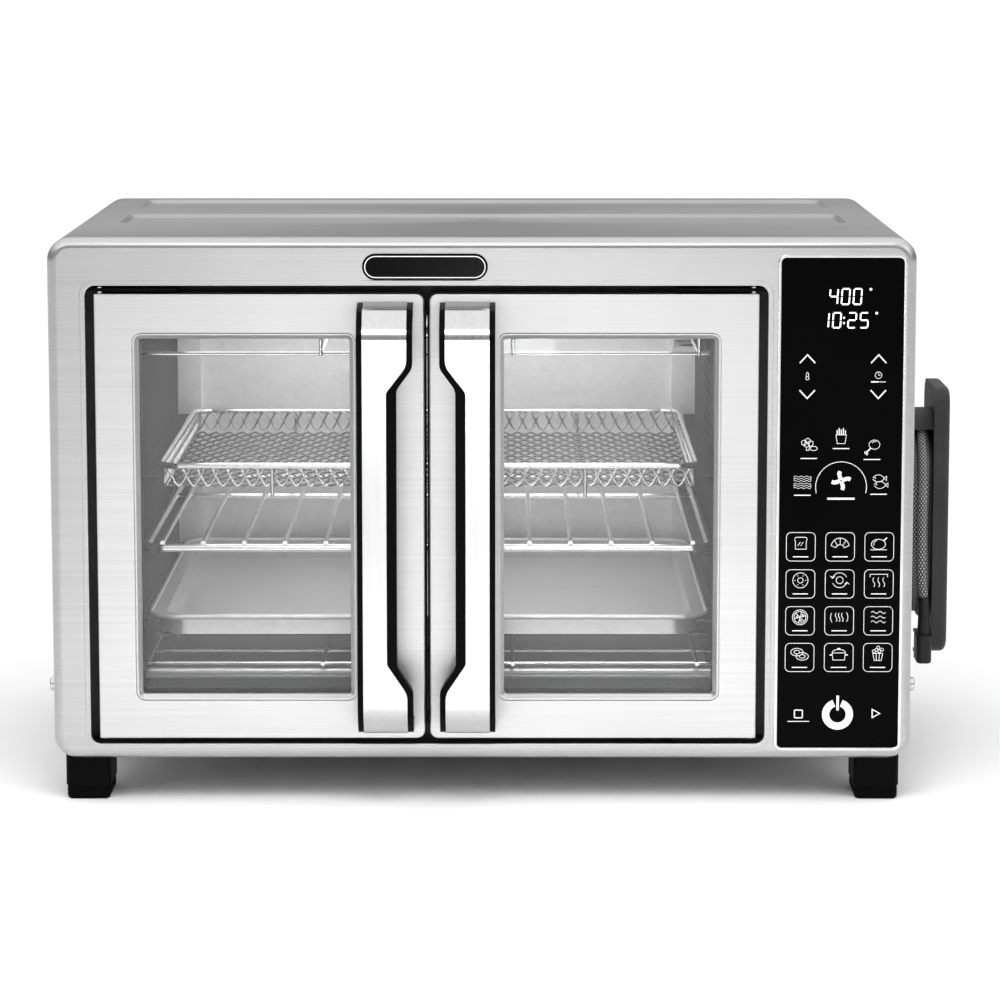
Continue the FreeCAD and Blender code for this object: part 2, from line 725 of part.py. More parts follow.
def make_wire_rack():
    x0 = CHAMBER_MIDDLE - RACK_HALF_WIDTH
    x1 = CHAMBER_MIDDLE + RACK_HALF_WIDTH
    z = RUNNER_TOPS[1] + 2.7
    shape = wire_loop(x0, x1, 41.0, 352.0, z, 12.0, 2.5)
    for i in range(14):
        x = CHAMBER_MIDDLE + (i - 6.5) * 25.0
        shape = shape.fuse(rod(V(x, 40.0, z + 3.2), V(x, 353.0, z + 3.2), 1.5))
    return shape.fuse(rod(V(x0, 262.0, z), V(x1, 262.0, z), 2.0))


BASKET_HALF = 167.0
BASKET_FRONT = 74.0
BASKET_BACK = 352.0
BASKET_FLOOR = 184.0


def make_basket_frame():
    x0 = CHAMBER_MIDDLE - BASKET_HALF
    x1 = CHAMBER_MIDDLE + BASKET_HALF
    z = RUNNER_TOPS[2] + 2.2
    shape = wire_loop(x0, x1, BASKET_FRONT, BASKET_BACK, z, 12.0, 2.0)
    low = BASKET_FLOOR - 2.2
    for x in (x0 + 70, x1 - 70):
        for y in (BASKET_FRONT + 0.4, BASKET_BACK - 0.4):
            shape = shape.fuse(rod(V(x, y, low - 4.0), V(x, y, z), 1.2))
        shape = shape.fuse(
            rod(V(x, BASKET_FRONT + 0.4, low), V(x, BASKET_BACK - 0.4, low), 1.2)
        )
    return shape


def tray(x0, x1, y0, y1, z0, z1, thick, corner):
    """An open-topped tray with rounded corners."""
    def block(inset, low, high):
        corners = [
            V(x0 + inset, y0 + inset, low), V(x1 - inset, y0 + inset, low),
            V(x1 - inset, y1 - inset, low), V(x0 + inset, y1 - inset, low),
        ]
        face = Part.Face(rounded_loop(corners, [corner - inset] * 4))
        return face.extrude(V(0, 0, high - low))
    return block(0, z0, z1).cut(block(thick, z0 + thick, z1 + 1))


def make_basket_mesh():
    reach = BASKET_HALF - 2.0
    return tray(
        CHAMBER_MIDDLE - reach, CHAMBER_MIDDLE + reach,
        BASKET_FRONT + 2.2, BASKET_BACK - 2.2, BASKET_FLOOR - 1.0, 198.0, 1.0, 10.0,
    )


PAN_BOTTOM = 95.5


def make_baking_pan():
    reach = CHAMBER_RIGHT - RUNNER_REACH - 2.0 - CHAMBER_MIDDLE
    rim_top = RUNNER_TOPS[0] + 2.6
    body = tray(
        CHAMBER_MIDDLE - reach, CHAMBER_MIDDLE + reach, 52.0, 344.0,
        PAN_BOTTOM, rim_top, 0.8, 14.0,
    )
    half = RACK_HALF_WIDTH
    x0 = CHAMBER_MIDDLE - half
    x1 = CHAMBER_MIDDLE + half
    corners = [V(x0, 45, rim_top - 0.8), V(x1, 45, rim_top - 0.8),
               V(x1, 351, rim_top - 0.8), V(x0, 351, rim_top - 0.8)]
    rim = Part.Face(rounded_loop(corners, [18.0] * 4)).extrude(V(0, 0, 0.8))
    opening_corners = [
        V(CHAMBER_MIDDLE - reach + 0.4, 52.4, 98), V(CHAMBER_MIDDLE + reach - 0.4, 52.4, 98),
        V(CHAMBER_MIDDLE + reach - 0.4, 343.6, 98), V(CHAMBER_MIDDLE - reach + 0.4, 343.6, 98),
    ]
    opening = Part.Face(rounded_loop(opening_corners, [13.6] * 4)).extrude(V(0, 0, 40))
    rim = rim.cut(opening)
    bead = wire_loop(x0 + 1, x1 - 1, 46.0, 350.0, rim_top - 0.9, 17.0, 1.6)
    return body.fuse([rim, bead])


def make_crumb_tray():
    shape = tray(
        CHAMBER_LEFT + 6, CHAMBER_RIGHT - 6, 36.0, 340.0,
        CHAMBER_BOTTOM + 0.3, CHAMBER_BOTTOM + 6.0, 0.8, 4.0,
    )
    lip = box(
        CHAMBER_LEFT + 10, CHAMBER_RIGHT - 10, 32.5, 36.5,
        CHAMBER_BOTTOM + 5.2, CHAMBER_BOTTOM + 6.0,
    )
    return shape.fuse(lip)


# ---- hot-air fan in the bay beside the chamber ----

def make_convection_fan():
    hub_start = V(150, FAN_Y, FAN_Z)
    hub = rod(hub_start, V(163, FAN_Y, FAN_Z), 8.0)
    disc = rod(V(161.5, FAN_Y, FAN_Z), V(163, FAN_Y, FAN_Z), FAN_RADIUS - 6)
    shape = hub.fuse(disc)
    for i in range(8):
        blade = box(151.5, 162, FAN_Y + 7, FAN_Y + FAN_RADIUS - 6.5, FAN_Z - 0.5, FAN_Z + 0.5)
        blade.rotate(V(0, FAN_Y + 7, FAN_Z), X_AXIS, 24)
        blade.rotate(V(0, FAN_Y, FAN_Z), X_AXIS, 45.0 * i)
        shape = shape.fuse(blade)
    shaft = rod(V(163, FAN_Y, FAN_Z), V(196, FAN_Y, FAN_Z), 2.5)
    return shape.fuse(shaft)


def make_fan_housing():
    outer = rod(V(145.8, FAN_Y, FAN_Z), V(168, FAN_Y, FAN_Z), FAN_RADIUS + 4)
    inner = rod(V(145, FAN_Y, FAN_Z), V(167.2, FAN_Y, FAN_Z), FAN_RADIUS + 3.2)
    hole = rod(V(160, FAN_Y, FAN_Z), V(180, FAN_Y, FAN_Z), 5.0)
    flange = rod(V(145.8, FAN_Y, FAN_Z), V(146.8, FAN_Y, FAN_Z), FAN_RADIUS + 12)
    return outer.fuse(flange).cut([inner, hole])


def make_fan_motor():
    can = rod(V(174, FAN_Y, FAN_Z), V(212, FAN_Y, FAN_Z), 24.0)
    can = can.makeFillet(3.0, [e for e in can.Edges if e.Length > 100])
    for angle in (45, 135, 225, 315):
        away = V(0, math.cos(math.radians(angle)), math.sin(math.radians(angle)))
        centre = V(168, FAN_Y, FAN_Z) + away * 20.0
        can = can.fuse(rod(centre, centre + V(8, 0, 0), 2.5))
    return can.cut(rod(V(160, FAN_Y, FAN_Z), V(200, FAN_Y, FAN_Z), 2.55))


def make_temperature_sensor():
    tip = V(128, PROBE_Y, PROBE_Z)
    stem = rod(tip, V(160, PROBE_Y, PROBE_Z), 2.4)
    nut = rod(V(145.8, PROBE_Y, PROBE_Z), V(150, PROBE_Y, PROBE_Z), 6.0)
    return stem.fuse(nut)


def make_thermal_cutoff():
    low = CHAMBER_TOP + CHAMBER_SHEET
    disc = rod(V(60, 200, low), V(60, 200, low + 9), 8.5)
    plate = box(48, 72, 196, 204, low, low + 1.0)
    tabs = [box(53, 53.8, 197, 203, low + 9, low + 17), box(66, 66.8, 197, 203, low + 9, low + 17)]
    return disc.fuse([plate] + tabs)


# ---- control panel ----

def make_panel_bezel():
    rim = ring_plate(BEZEL, PANEL, -0.7, 5.0)
    rim = rim.makeFillet(0.6, front_edges(rim, -0.7))
    ledge = ring_plate(grown(PANEL, 0.5), grown(PANEL, -2.5), 3.4, 5.0)
    return rim.fuse(ledge).removeSplitter()


def make_panel_glass():
    x0, x1, z0, z1, radius = grown(PANEL, -0.05)
    glass = rounded_plate(x0, x1, z0, z1, 0.0, 3.4, radius)
    return glass.makeFillet(0.5, front_edges(glass, 0.0))


def make_control_board():
    board = box(184, 247, 9.0, 10.6, 45, 325)
    display = box(188, 243, 5.2, 9.0, 296, 323)
    chips = [box(205, 226, 10.6, 14, 160, 181), box(195, 215, 10.6, 13, 210, 222)]
    plug = box(228, 242, 10.6, 19, 60, 92)
    return board.fuse([display, plug] + chips)


def make_power_board():
    board = box(164, 246, 70, 190, 36.0, 37.6)
    pieces = [
        box(172, 200, 80, 104, 37.6, 61), box(206, 224, 80, 96, 37.6, 54),
        box(206, 224, 102, 118, 37.6, 54), box(230, 243, 78, 92, 37.6, 50),
        box(172, 190, 150, 168, 37.6, 52),
    ]
    pieces.append(rod(V(214, 150, 37.6), V(214, 150, 62), 8.0))
    for x in (169, 241):
        for y in (75, 185):
            pieces.append(rod(V(x, y, CASE_BOTTOM + SHEET), V(x, y, 36.0), 3.0))
    return board.fuse(pieces)


def make_badge():
    plate = (-71.4, 3.6, 319.4, 335.2, 7.89)
    x0, x1, z0, z1, radius = plate
    body = rounded_plate(x0, x1, z0, z1, -1.6, 0.0, radius)
    return body.makeFillet(0.7, front_edges(body, -1.6))


# ---- cord winder, gland, plug and cord ----

def racetrack(radius, x0, x1):
    """An upright block with round ends, as wide in y as twice its radius."""
    lower = rod(V(x0, WRAP_Y, WRAP_LOW_CENTRE), V(x1, WRAP_Y, WRAP_LOW_CENTRE), radius)
    upper = rod(V(x0, WRAP_Y, WRAP_HIGH_CENTRE), V(x1, WRAP_Y, WRAP_HIGH_CENTRE), radius)
    middle = box(
        x0, x1, WRAP_Y - radius, WRAP_Y + radius, WRAP_LOW_CENTRE, WRAP_HIGH_CENTRE
    )
    return middle.fuse([lower, upper]).removeSplitter()


def make_cord_wrap():
    core = racetrack(WRAP_CORE_RADIUS, HALF, WRAP_FLANGE_X)
    hollow = racetrack(WRAP_CORE_RADIUS - 2.5, HALF - 1, WRAP_FLANGE_X)
    y0 = WRAP_Y - WRAP_FLANGE_DEPTH / 2.0
    y1 = y0 + WRAP_FLANGE_DEPTH
    x0 = WRAP_FLANGE_X
    corners = [
        V(x0, y0, WRAP_FLANGE_BOTTOM), V(x0, y1, WRAP_FLANGE_BOTTOM),
        V(x0, y1, WRAP_FLANGE_TOP), V(x0, y0, WRAP_FLANGE_TOP),
    ]
    face = Part.Face(rounded_loop(corners, [12.0] * 4))
    flange = face.extrude(V(WRAP_FLANGE_OUTER - x0, 0, 0))
    outer_edges = [e for e in flange.Edges if e.BoundBox.XMin > WRAP_FLANGE_OUTER - 1e-4]
    flange = flange.makeFillet(4.0, outer_edges)
    hood_in = WRAP_CORE_RADIUS + WRAP_LAYER + 0.3
    hood_out = hood_in + 2.2
    centre = V(HALF, WRAP_Y, WRAP_HIGH_CENTRE)
    length = WRAP_FLANGE_X - HALF
    hood = Part.makeCylinder(hood_out, length, centre, X_AXIS)
    hood = hood.cut(Part.makeCylinder(hood_in, length, centre, X_AXIS))
    keep = box(200, 300, WRAP_Y - 50, WRAP_Y + 50, WRAP_HIGH_CENTRE + 26, WRAP_HIGH_CENTRE + 50)
    hood = hood.common(keep)
    return core.cut(hollow).fuse([flange, hood]).removeSplitter()


def make_cord_gland():
    back = WRAPPER_BACK + SHEET
    centre = V(GLAND_X, back, GLAND_Z)
    flange = Part.makeCylinder(9.0, 2.5, centre, Y_AXIS)
    taper = Part.makeCone(
        6.4, CORD_RADIUS + 0.8, GLAND_LENGTH - 2.5, centre + V(0, 2.5, 0), Y_AXIS
    )
    shank = Part.makeCylinder(6.0, 9.0, centre - V(0, 9.0, 0), Y_AXIS)
    return flange.fuse([taper, shank]).removeSplitter()


# Where the cord runs free: out of the gland, round behind the casing, forward
# along its right side and up into the back of the winding.
CORD_ROUTE = [
    (205.0, 371.0, 75.0),
    (205.6, 398.0, 74.6),
    (217.6, 414.7, 74.0),
    (237.0, 421.0, 73.2),
    (256.4, 414.7, 72.4),
    (268.4, 398.2, 71.6),
    (269.6, 366.0, 70.8),
    (268.6, 318.0, 71.0),
    (269.2, 276.0, 73.4),
    (268.2, 243.0, 77.0),
    (267.6, 213.0, 80.6),
    (267.2, 198.6, 88.6),
    (266.8, 190.3, 102.9),
    (266.6, 190.0, 119.0),
]


def free_cord_path(route):
    """Straight runs joined by tangent arcs as large as the runs allow."""
    points = [V(*p) for p in route]
    edges = []
    last = points[0]
    radii = []
    for i in range(1, len(points) - 1):
        back = points[i - 1] - points[i]
        ahead = points[i + 1] - points[i]
        shorter = min(back.Length, ahead.Length)
        half_turn = (math.pi - back.getAngle(ahead)) / 2.0
        radius = 0.45 * shorter / math.tan(half_turn)
        radii.append(radius)
        start, middle, end = corner_arc(points[i - 1], points[i], points[i + 1], radius)
        edges.append(Part.LineSegment(last, start).toShape())
        edges.append(Part.Arc(start, middle, end).toShape())
        last = end
    edges.append(Part.LineSegment(last, points[-1]).toShape())
    return Part.Wire(edges), radii


def make_cord_lead():
    path, radii = free_cord_path(CORD_ROUTE)
    start = V(*CORD_ROUTE[0])
    heading = V(*CORD_ROUTE[1]) - start
    profile = Part.Wire(Part.makeCircle(CORD_RADIUS, start, heading))
    tube = path.makePipeShell([profile], True, False)
    expected = math.pi * CORD_RADIUS ** 2 * path.Length
    print("cord radii", [round(r, 1) for r in radii])
    print("cord length", round(path.Length, 1), "volume ratio", round(tube.Volume / expected, 4))
    return tube


def make_cord_coil():
    x0 = HALF + 3.0
    x1 = WRAP_FLANGE_X - 0.4
    outer = racetrack(WRAP_CORE_RADIUS + WRAP_LAYER, x0, x1)
    inner = racetrack(WRAP_CORE_RADIUS, x0 - 1, x1 + 1)
    return outer.cut(inner)


def make_plug():
    y = WRAP_Y - WRAP_CORE_RADIUS - WRAP_LAYER + 2.2
    neck = Part.makeCone(3.9, 3.1, 24.0, V(PLUG_X, y, 82.0), Z_AXIS)
    body = box(PLUG_X - 4.8, PLUG_X + 4.8, y - 8.0, y + 14.0, 64.0, 82.0)
    upright = [e for e in body.Edges if e.BoundBox.ZLength > 17]
    body = body.makeFillet(3.4, upright)
    level = [e for e in body.Edges if e.BoundBox.ZLength < 1e-4]
    body = body.makeFillet(1.6, level)
    blades = []
    for z in (66.6, 79.3):
        blades.append(box(PLUG_X - 3.2, PLUG_X + 3.2, y + 13.0, y + 32.0, z - 0.8, z + 0.8))
    return neck.fuse([body] + blades).removeSplitter()


# ---- write every piece ----
save("wrapper_shell", make_wrapper())
save("front_frame", make_front_frame())
save("rear_cover", make_rear_cover())
save("bottom_plate", make_bottom_plate())
save("housing_screws", make_screws())
make_feet()

cover = make_handle_cover()
core = make_handle_core(cover)
DOOR_PIECES = (
    ("door_panel", make_door_panel()),
    ("door_glass", make_door_glass()),
    ("door_inner_frame", make_door_inner_frame()),
    ("handle_core", core),
    ("handle_cover", cover),
    ("hinge_pins", make_hinge_pins()),
)
for piece_name, piece in DOOR_PIECES:
    save("left_" + piece_name, piece)
    save("right_" + piece_name, mirrored_in_doors(piece))
save("hinge_brackets", make_hinge_brackets())
save("door_catches", make_catches())

save("chamber_left_wall", make_side_wall(True))
save("chamber_right_wall", make_side_wall(False))
save("chamber_roof", make_chamber_roof())
save("chamber_floor", make_chamber_floor())
save("chamber_back", make_chamber_back())
save("door_seat_frame", make_seat_frame())
for heater_name, heater_y, heater_z in HEATERS:
    save(heater_name, make_heater(heater_y, heater_z))
save("heater_bushes", make_bushes())
GUARD_CROSSINGS = (-206.8, -98.4, 18.7, 132.3)
LOWER_GUARD_WIRES = (48.0, 90.0, 150.0, 220.0, 285.0)
UPPER_GUARD_WIRES = (48.0, 150.0, 220.0, 292.0)
save("lower_guard", make_guard(78.0, LOWER_GUARD_WIRES, GUARD_CROSSINGS, 1.25, None))
save("upper_guard", make_guard(270.0, UPPER_GUARD_WIRES, GUARD_CROSSINGS[1:], 1.25, CHAMBER_TOP))
save("wire_rack", make_wire_rack())
save("basket_frame", make_basket_frame())
save("basket_mesh", make_basket_mesh())
save("baking_pan", make_baking_pan())
save("crumb_tray", make_crumb_tray())

save("convection_fan", make_convection_fan())
save("fan_housing", make_fan_housing())
save("fan_motor", make_fan_motor())
save("temperature_sensor", make_temperature_sensor())
save("thermal_cutoff", make_thermal_cutoff())

save("control_panel_bezel", make_panel_bezel())
save("control_panel_glass", make_panel_glass())
save("control_board", make_control_board())
save("power_board", make_power_board())
save("badge", make_badge())

save("cord_wrap", make_cord_wrap())
save("cord_gland", make_cord_gland())
save("power_cord_lead", make_cord_lead())
save("power_cord_coil", make_cord_coil())
save("power_plug", make_plug())
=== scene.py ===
import bpy
import bmesh
import math
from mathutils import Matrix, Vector


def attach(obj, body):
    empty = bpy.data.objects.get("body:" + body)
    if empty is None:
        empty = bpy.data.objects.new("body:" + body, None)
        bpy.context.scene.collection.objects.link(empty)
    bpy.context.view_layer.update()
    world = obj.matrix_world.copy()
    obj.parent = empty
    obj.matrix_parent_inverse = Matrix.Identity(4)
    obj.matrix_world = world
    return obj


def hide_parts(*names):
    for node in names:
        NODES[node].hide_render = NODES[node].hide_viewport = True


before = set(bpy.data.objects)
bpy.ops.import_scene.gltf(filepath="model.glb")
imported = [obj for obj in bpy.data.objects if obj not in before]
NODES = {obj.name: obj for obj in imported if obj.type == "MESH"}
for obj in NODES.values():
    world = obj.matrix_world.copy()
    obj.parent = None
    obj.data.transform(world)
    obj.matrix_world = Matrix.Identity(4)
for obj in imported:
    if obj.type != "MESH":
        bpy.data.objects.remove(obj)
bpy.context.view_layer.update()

# The CAD frame's origin is in the middle of the whole footprint. Sizes that
# part.py gives from the middle of the casing and from its front face are
# turned into frame metres by at().
MIDDLE_X = 0.01575
FRONT_Y = 0.1725


def at(x, y, z):
    """A point given in casing millimetres, as a point in the frame."""
    return Vector((x / 1000 - MIDDLE_X, y / 1000 - FRONT_Y, z / 1000))


# ---------------------------------------------------------------- camera

FOCAL_LENGTH = 140.2
SENSOR_WIDTH = 36.0
CAMERA_PLACE = at(13.7, -2318.0, 526.7)
PITCH_DOWN = math.radians(8.343)
TURN_LEFT = math.radians(0.07)


def make_camera():
    data = bpy.data.cameras.new("camera")
    data.lens = FOCAL_LENGTH
    data.sensor_width = SENSOR_WIDTH
    data.clip_end = 200.0
    camera = bpy.data.objects.new("camera", data)
    bpy.context.scene.collection.objects.link(camera)
    camera.location = CAMERA_PLACE
    camera.rotation_euler = (math.pi / 2 - PITCH_DOWN, 0.0, TURN_LEFT)
    bpy.context.scene.camera = camera


make_camera()


# ------------------------------------------------------- node-tree helpers

def new_material(name):
    material = bpy.data.materials.new(name)
    material.use_nodes = True
    tree = material.node_tree
    shader = tree.nodes["Principled BSDF"]
    return material, tree, shader


def add(tree, kind, **settings):
    node = tree.nodes.new(kind)
    for key, value in settings.items():
        setattr(node, key, value)
    return node


def coordinates(tree, scale, output="Object"):
    """Object-space coordinates, stretched by scale."""
    source = add(tree, "ShaderNodeTexCoord")
    mapping = add(tree, "ShaderNodeMapping")
    mapping.inputs["Scale"].default_value = scale
    tree.links.new(source.outputs[output], mapping.inputs["Vector"])
    return mapping.outputs["Vector"]


def noise(tree, vector, scale, detail=3.0, rough=0.55):
    node = add(tree, "ShaderNodeTexNoise")
    node.inputs["Scale"].default_value = scale
    node.inputs["Detail"].default_value = detail
    node.inputs["Roughness"].default_value = rough
    tree.links.new(vector, node.inputs["Vector"])
    return node.outputs["Fac"]


def ramp(tree, value, stops):
    """A colour ramp; stops are (place, grey or colour)."""
    node = add(tree, "ShaderNodeValToRGB")
    elements = node.color_ramp.elements
    for i, (place, colour) in enumerate(stops):
        element = elements[i] if i < 2 else elements.new(place)
        element.position = place
        if not isinstance(colour, tuple):
            colour = (colour, colour, colour)
        element.color = (*colour, 1.0)
    tree.links.new(value, node.inputs["Fac"])
    return node.outputs["Color"]


def mix(tree, factor, a, b, mode="MIX"):
    """Mix two colour sockets; factor may be a number or a socket."""
    node = add(tree, "ShaderNodeMix", data_type="RGBA", blend_type=mode)
    if isinstance(factor, (int, float)):
        node.inputs["Factor"].default_value = factor
    else:
        tree.links.new(factor, node.inputs["Factor"])
    tree.links.new(a, node.inputs["A"])
    tree.links.new(b, node.inputs["B"])
    return node.outputs["Result"]


def bump(tree, shader, height, strength, distance):
    node = add(tree, "ShaderNodeBump")
    node.inputs["Strength"].default_value = strength
    node.inputs["Distance"].default_value = distance
    tree.links.new(height, node.inputs["Height"])
    tree.links.new(node.outputs["Normal"], shader.inputs["Normal"])


def remap(tree, value, low, high):
    node = add(tree, "ShaderNodeMapRange")
    node.inputs["To Min"].default_value = low
    node.inputs["To Max"].default_value = high
    tree.links.new(value, node.inputs["Value"])
    return node.outputs["Result"]


# --------------------------------------------------------------- materials

def sideways(tree):
    """1 where a face looks left or right, 0 where it looks another way."""
    source = add(tree, "ShaderNodeTexCoord")
    split = add(tree, "ShaderNodeSeparateXYZ")
    size = add(tree, "ShaderNodeMath", operation="ABSOLUTE")
    past = add(tree, "ShaderNodeMath", operation="GREATER_THAN")
    past.inputs[1].default_value = 0.75
    tree.links.new(source.outputs["Normal"], split.inputs["Vector"])
    tree.links.new(split.outputs["X"], size.inputs[0])
    tree.links.new(size.outputs[0], past.inputs[0])
    return past.outputs[0]


def brushed(name, dark, light, grain, rough, anisotropy=0.5, side_grain=None):
    """Brushed steel; grain is the scale of its scratches along x, y and z."""
    material, tree, shader = new_material(name)
    shader.inputs["Metallic"].default_value = 1.0
    shader.inputs["Anisotropic"].default_value = anisotropy
    fine = noise(tree, coordinates(tree, grain), 1.0, 4.0, 0.7)
    if side_grain is not None:
        side = noise(tree, coordinates(tree, side_grain), 1.0, 4.0, 0.7)
        fine = mix(tree, sideways(tree), fine, side)
    coarse_share = 0.22
    coarse_grain = tuple(g * coarse_share for g in grain)
    coarse = noise(tree, coordinates(tree, coarse_grain), 1.0, 2.0)
    cloud = noise(tree, coordinates(tree, (1, 1, 1)), 9.0, 2.0)
    lines = mix(
        tree, 0.4,
        ramp(tree, fine, [(0.3, dark), (0.7, light)]),
        ramp(tree, coarse, [(0.3, dark * 1.05), (0.7, light * 0.97)]),
    )
    tint = ramp(tree, cloud, [(0.3, 0.93), (0.7, 1.0)])
    colour = mix(tree, 1.0, lines, tint, "MULTIPLY")
    tree.links.new(colour, shader.inputs["Base Color"])
    tree.links.new(
        remap(tree, fine, rough - 0.06, rough + 0.08), shader.inputs["Roughness"]
    )
    bump(tree, shader, fine, 0.22, 0.00004)
    return material


def aluminised(name, dark, light, rough, metal=0.55, shine=0.5):
    """Aluminised sheet: pale, softly mottled, with a faint spangle."""
    material, tree, shader = new_material(name)
    shader.inputs["Metallic"].default_value = metal
    shader.inputs["Specular IOR Level"].default_value = shine
    place = coordinates(tree, (1, 1, 1))
    mottle = noise(tree, place, 160.0, 5.0, 0.65)
    cloud = noise(tree, place, 14.0, 3.0)
    spangle = add(tree, "ShaderNodeTexVoronoi", feature="F1")
    spangle.inputs["Scale"].default_value = 420.0
    tree.links.new(place, spangle.inputs["Vector"])
    colour = mix(
        tree, 0.45,
        ramp(tree, mottle, [(0.3, dark), (0.72, light)]),
        ramp(tree, cloud, [(0.3, dark * 1.06), (0.7, light)]),
    )
    grains = ramp(tree, spangle.outputs["Distance"], [(0.0, 0.93), (0.8, 1.0)])
    flecked = mix(tree, 1.0, colour, grains, "MULTIPLY")
    tree.links.new(flecked, shader.inputs["Base Color"])
    tree.links.new(
        remap(tree, mottle, rough - 0.08, rough + 0.1), shader.inputs["Roughness"]
    )
    bump(tree, shader, mottle, 0.25, 0.0001)
    return material


def polished(name, grey, rough, scale=60.0):
    """Plated or polished metal with faint haze and handling marks."""
    material, tree, shader = new_material(name)
    shader.inputs["Metallic"].default_value = 1.0
    place = coordinates(tree, (1, 1, 1))
    haze = noise(tree, place, scale, 3.0)
    tree.links.new(
        ramp(tree, haze, [(0.3, grey * 0.9), (0.7, grey)]), shader.inputs["Base Color"]
    )
    tree.links.new(
        remap(tree, haze, rough * 0.7, rough * 1.4), shader.inputs["Roughness"]
    )
    bump(tree, shader, noise(tree, place, scale * 12, 2.0), 0.08, 0.00003)
    return material


def moulded(name, colour, rough, grain=1500.0, depth=0.00005, shine=0.12):
    """Moulded plastic or rubber with a fine spark-eroded grain."""
    material, tree, shader = new_material(name)
    shader.inputs["Specular IOR Level"].default_value = shine
    place = coordinates(tree, (1, 1, 1))
    fine = noise(tree, place, grain, 3.0, 0.6)
    cloud = noise(tree, place, 22.0, 2.0)
    low = tuple(c * 0.8 for c in colour)
    high = tuple(c * 1.25 for c in colour)
    tree.links.new(
        ramp(tree, cloud, [(0.3, low), (0.7, high)]), shader.inputs["Base Color"]
    )
    tree.links.new(
        remap(tree, fine, rough - 0.08, rough + 0.1), shader.inputs["Roughness"]
    )
    bump(tree, shader, fine, 0.35, depth)
    return material


def clear_glass():
    """Tempered glass: nearly clear, a little grey, with a sharp gloss."""
    material, tree, shader = new_material("door_glass_clear")
    shader.inputs["Roughness"].default_value = 0.02
    shader.inputs["IOR"].default_value = 1.5
    shader.inputs["Specular IOR Level"].default_value = 0.6
    smear = noise(tree, coordinates(tree, (1, 1, 1)), 7.0, 2.0)
    tree.links.new(
        ramp(tree, smear, [(0.3, 0.62), (0.7, 0.72)]), shader.inputs["Base Color"]
    )
    tree.links.new(remap(tree, smear, 0.05, 0.09), shader.inputs["Alpha"])
    return material


def panel_glass():
    """Black back-printed glass."""
    material, tree, shader = new_material("panel_glass_black")
    shader.inputs["Specular IOR Level"].default_value = 0.03
    smear = noise(tree, coordinates(tree, (1, 1, 1)), 12.0, 3.0)
    tree.links.new(
        ramp(tree, smear, [(0.3, 0.0004), (0.7, 0.001)]), shader.inputs["Base Color"]
    )
    tree.links.new(remap(tree, smear, 0.07, 0.13), shader.inputs["Roughness"])
    return material


def printed_white(name, level, glow):
    """White print, or a lit segment, with the faintest unevenness. On the print the
    glow is painted brightness, as print is no lamp; the display segments really shine.
    """
    material, tree, shader = new_material(name)
    shader.inputs["Roughness"].default_value = 0.45
    shader.inputs["Emission Strength"].default_value = glow
    speck = noise(tree, coordinates(tree, (1, 1, 1)), 900.0, 2.0)
    colour = ramp(tree, speck, [(0.3, level * 0.94), (0.7, level)])
    tree.links.new(colour, shader.inputs["Base Color"])
    tree.links.new(colour, shader.inputs["Emission Color"])
    return material


def circuit_board():
    """Solder mask with copper tracks under it."""
    material, tree, shader = new_material("circuit_board_green")
    place = coordinates(tree, (1, 1, 1))
    tracks = add(tree, "ShaderNodeTexBrick")
    tracks.inputs["Scale"].default_value = 90.0
    tracks.inputs["Mortar Size"].default_value = 0.03
    tracks.inputs["Color1"].default_value = (0.012, 0.09, 0.035, 1)
    tracks.inputs["Color2"].default_value = (0.016, 0.12, 0.045, 1)
    tracks.inputs["Mortar"].default_value = (0.06, 0.22, 0.09, 1)
    tree.links.new(place, tracks.inputs["Vector"])
    tree.links.new(tracks.outputs["Color"], shader.inputs["Base Color"])
    fine = noise(tree, place, 700.0, 2.0)
    tree.links.new(remap(tree, fine, 0.3, 0.45), shader.inputs["Roughness"])
    bump(tree, shader, fine, 0.1, 0.00004)
    return material


BRAID_REPEATS_ALONG = 420.0
BRAID_REPEATS_AROUND = 8.0


def braid():
    """Braided jacket: two crossing sets of strands, grey, with white painted
    highlights where both sets of strands rise.
    """
    material, tree, shader = new_material("cord_braid_grey")
    shader.inputs["Roughness"].default_value = 0.75
    shader.inputs["Sheen Weight"].default_value = 0.2
    source = add(tree, "ShaderNodeTexCoord")
    split = add(tree, "ShaderNodeSeparateXYZ")
    tree.links.new(source.outputs["UV"], split.inputs["Vector"])
    bands = []
    for lean in (1.0, -1.0):
        along = add(tree, "ShaderNodeMath", operation="MULTIPLY")
        along.inputs[1].default_value = BRAID_REPEATS_ALONG
        tree.links.new(split.outputs["X"], along.inputs[0])
        around = add(tree, "ShaderNodeMath", operation="MULTIPLY")
        around.inputs[1].default_value = BRAID_REPEATS_AROUND * lean
        tree.links.new(split.outputs["Y"], around.inputs[0])
        total = add(tree, "ShaderNodeMath", operation="ADD")
        tree.links.new(along.outputs[0], total.inputs[0])
        tree.links.new(around.outputs[0], total.inputs[1])
        wave = add(tree, "ShaderNodeMath", operation="PINGPONG")
        wave.inputs[1].default_value = 0.5
        tree.links.new(total.outputs[0], wave.inputs[0])
        bands.append(wave.outputs[0])
    weave = add(tree, "ShaderNodeMath", operation="MAXIMUM")
    tree.links.new(bands[0], weave.inputs[0])
    tree.links.new(bands[1], weave.inputs[1])
    both = add(tree, "ShaderNodeMath", operation="MULTIPLY")
    tree.links.new(bands[0], both.inputs[0])
    tree.links.new(bands[1], both.inputs[1])
    gap = (0.03, 0.03, 0.031)
    strand = (0.22, 0.22, 0.225)
    # White where both sets of strands rise: a painted highlight standing in for the
    # braid's sheen.
    painted_highlight = (0.9, 0.9, 0.9)
    colour = ramp(tree, both.outputs[0], [(0.03, gap), (0.1, strand), (0.19, painted_highlight)])
    tree.links.new(colour, shader.inputs["Base Color"])
    bump(tree, shader, weave.outputs[0], 0.6, 0.0004)
    return material


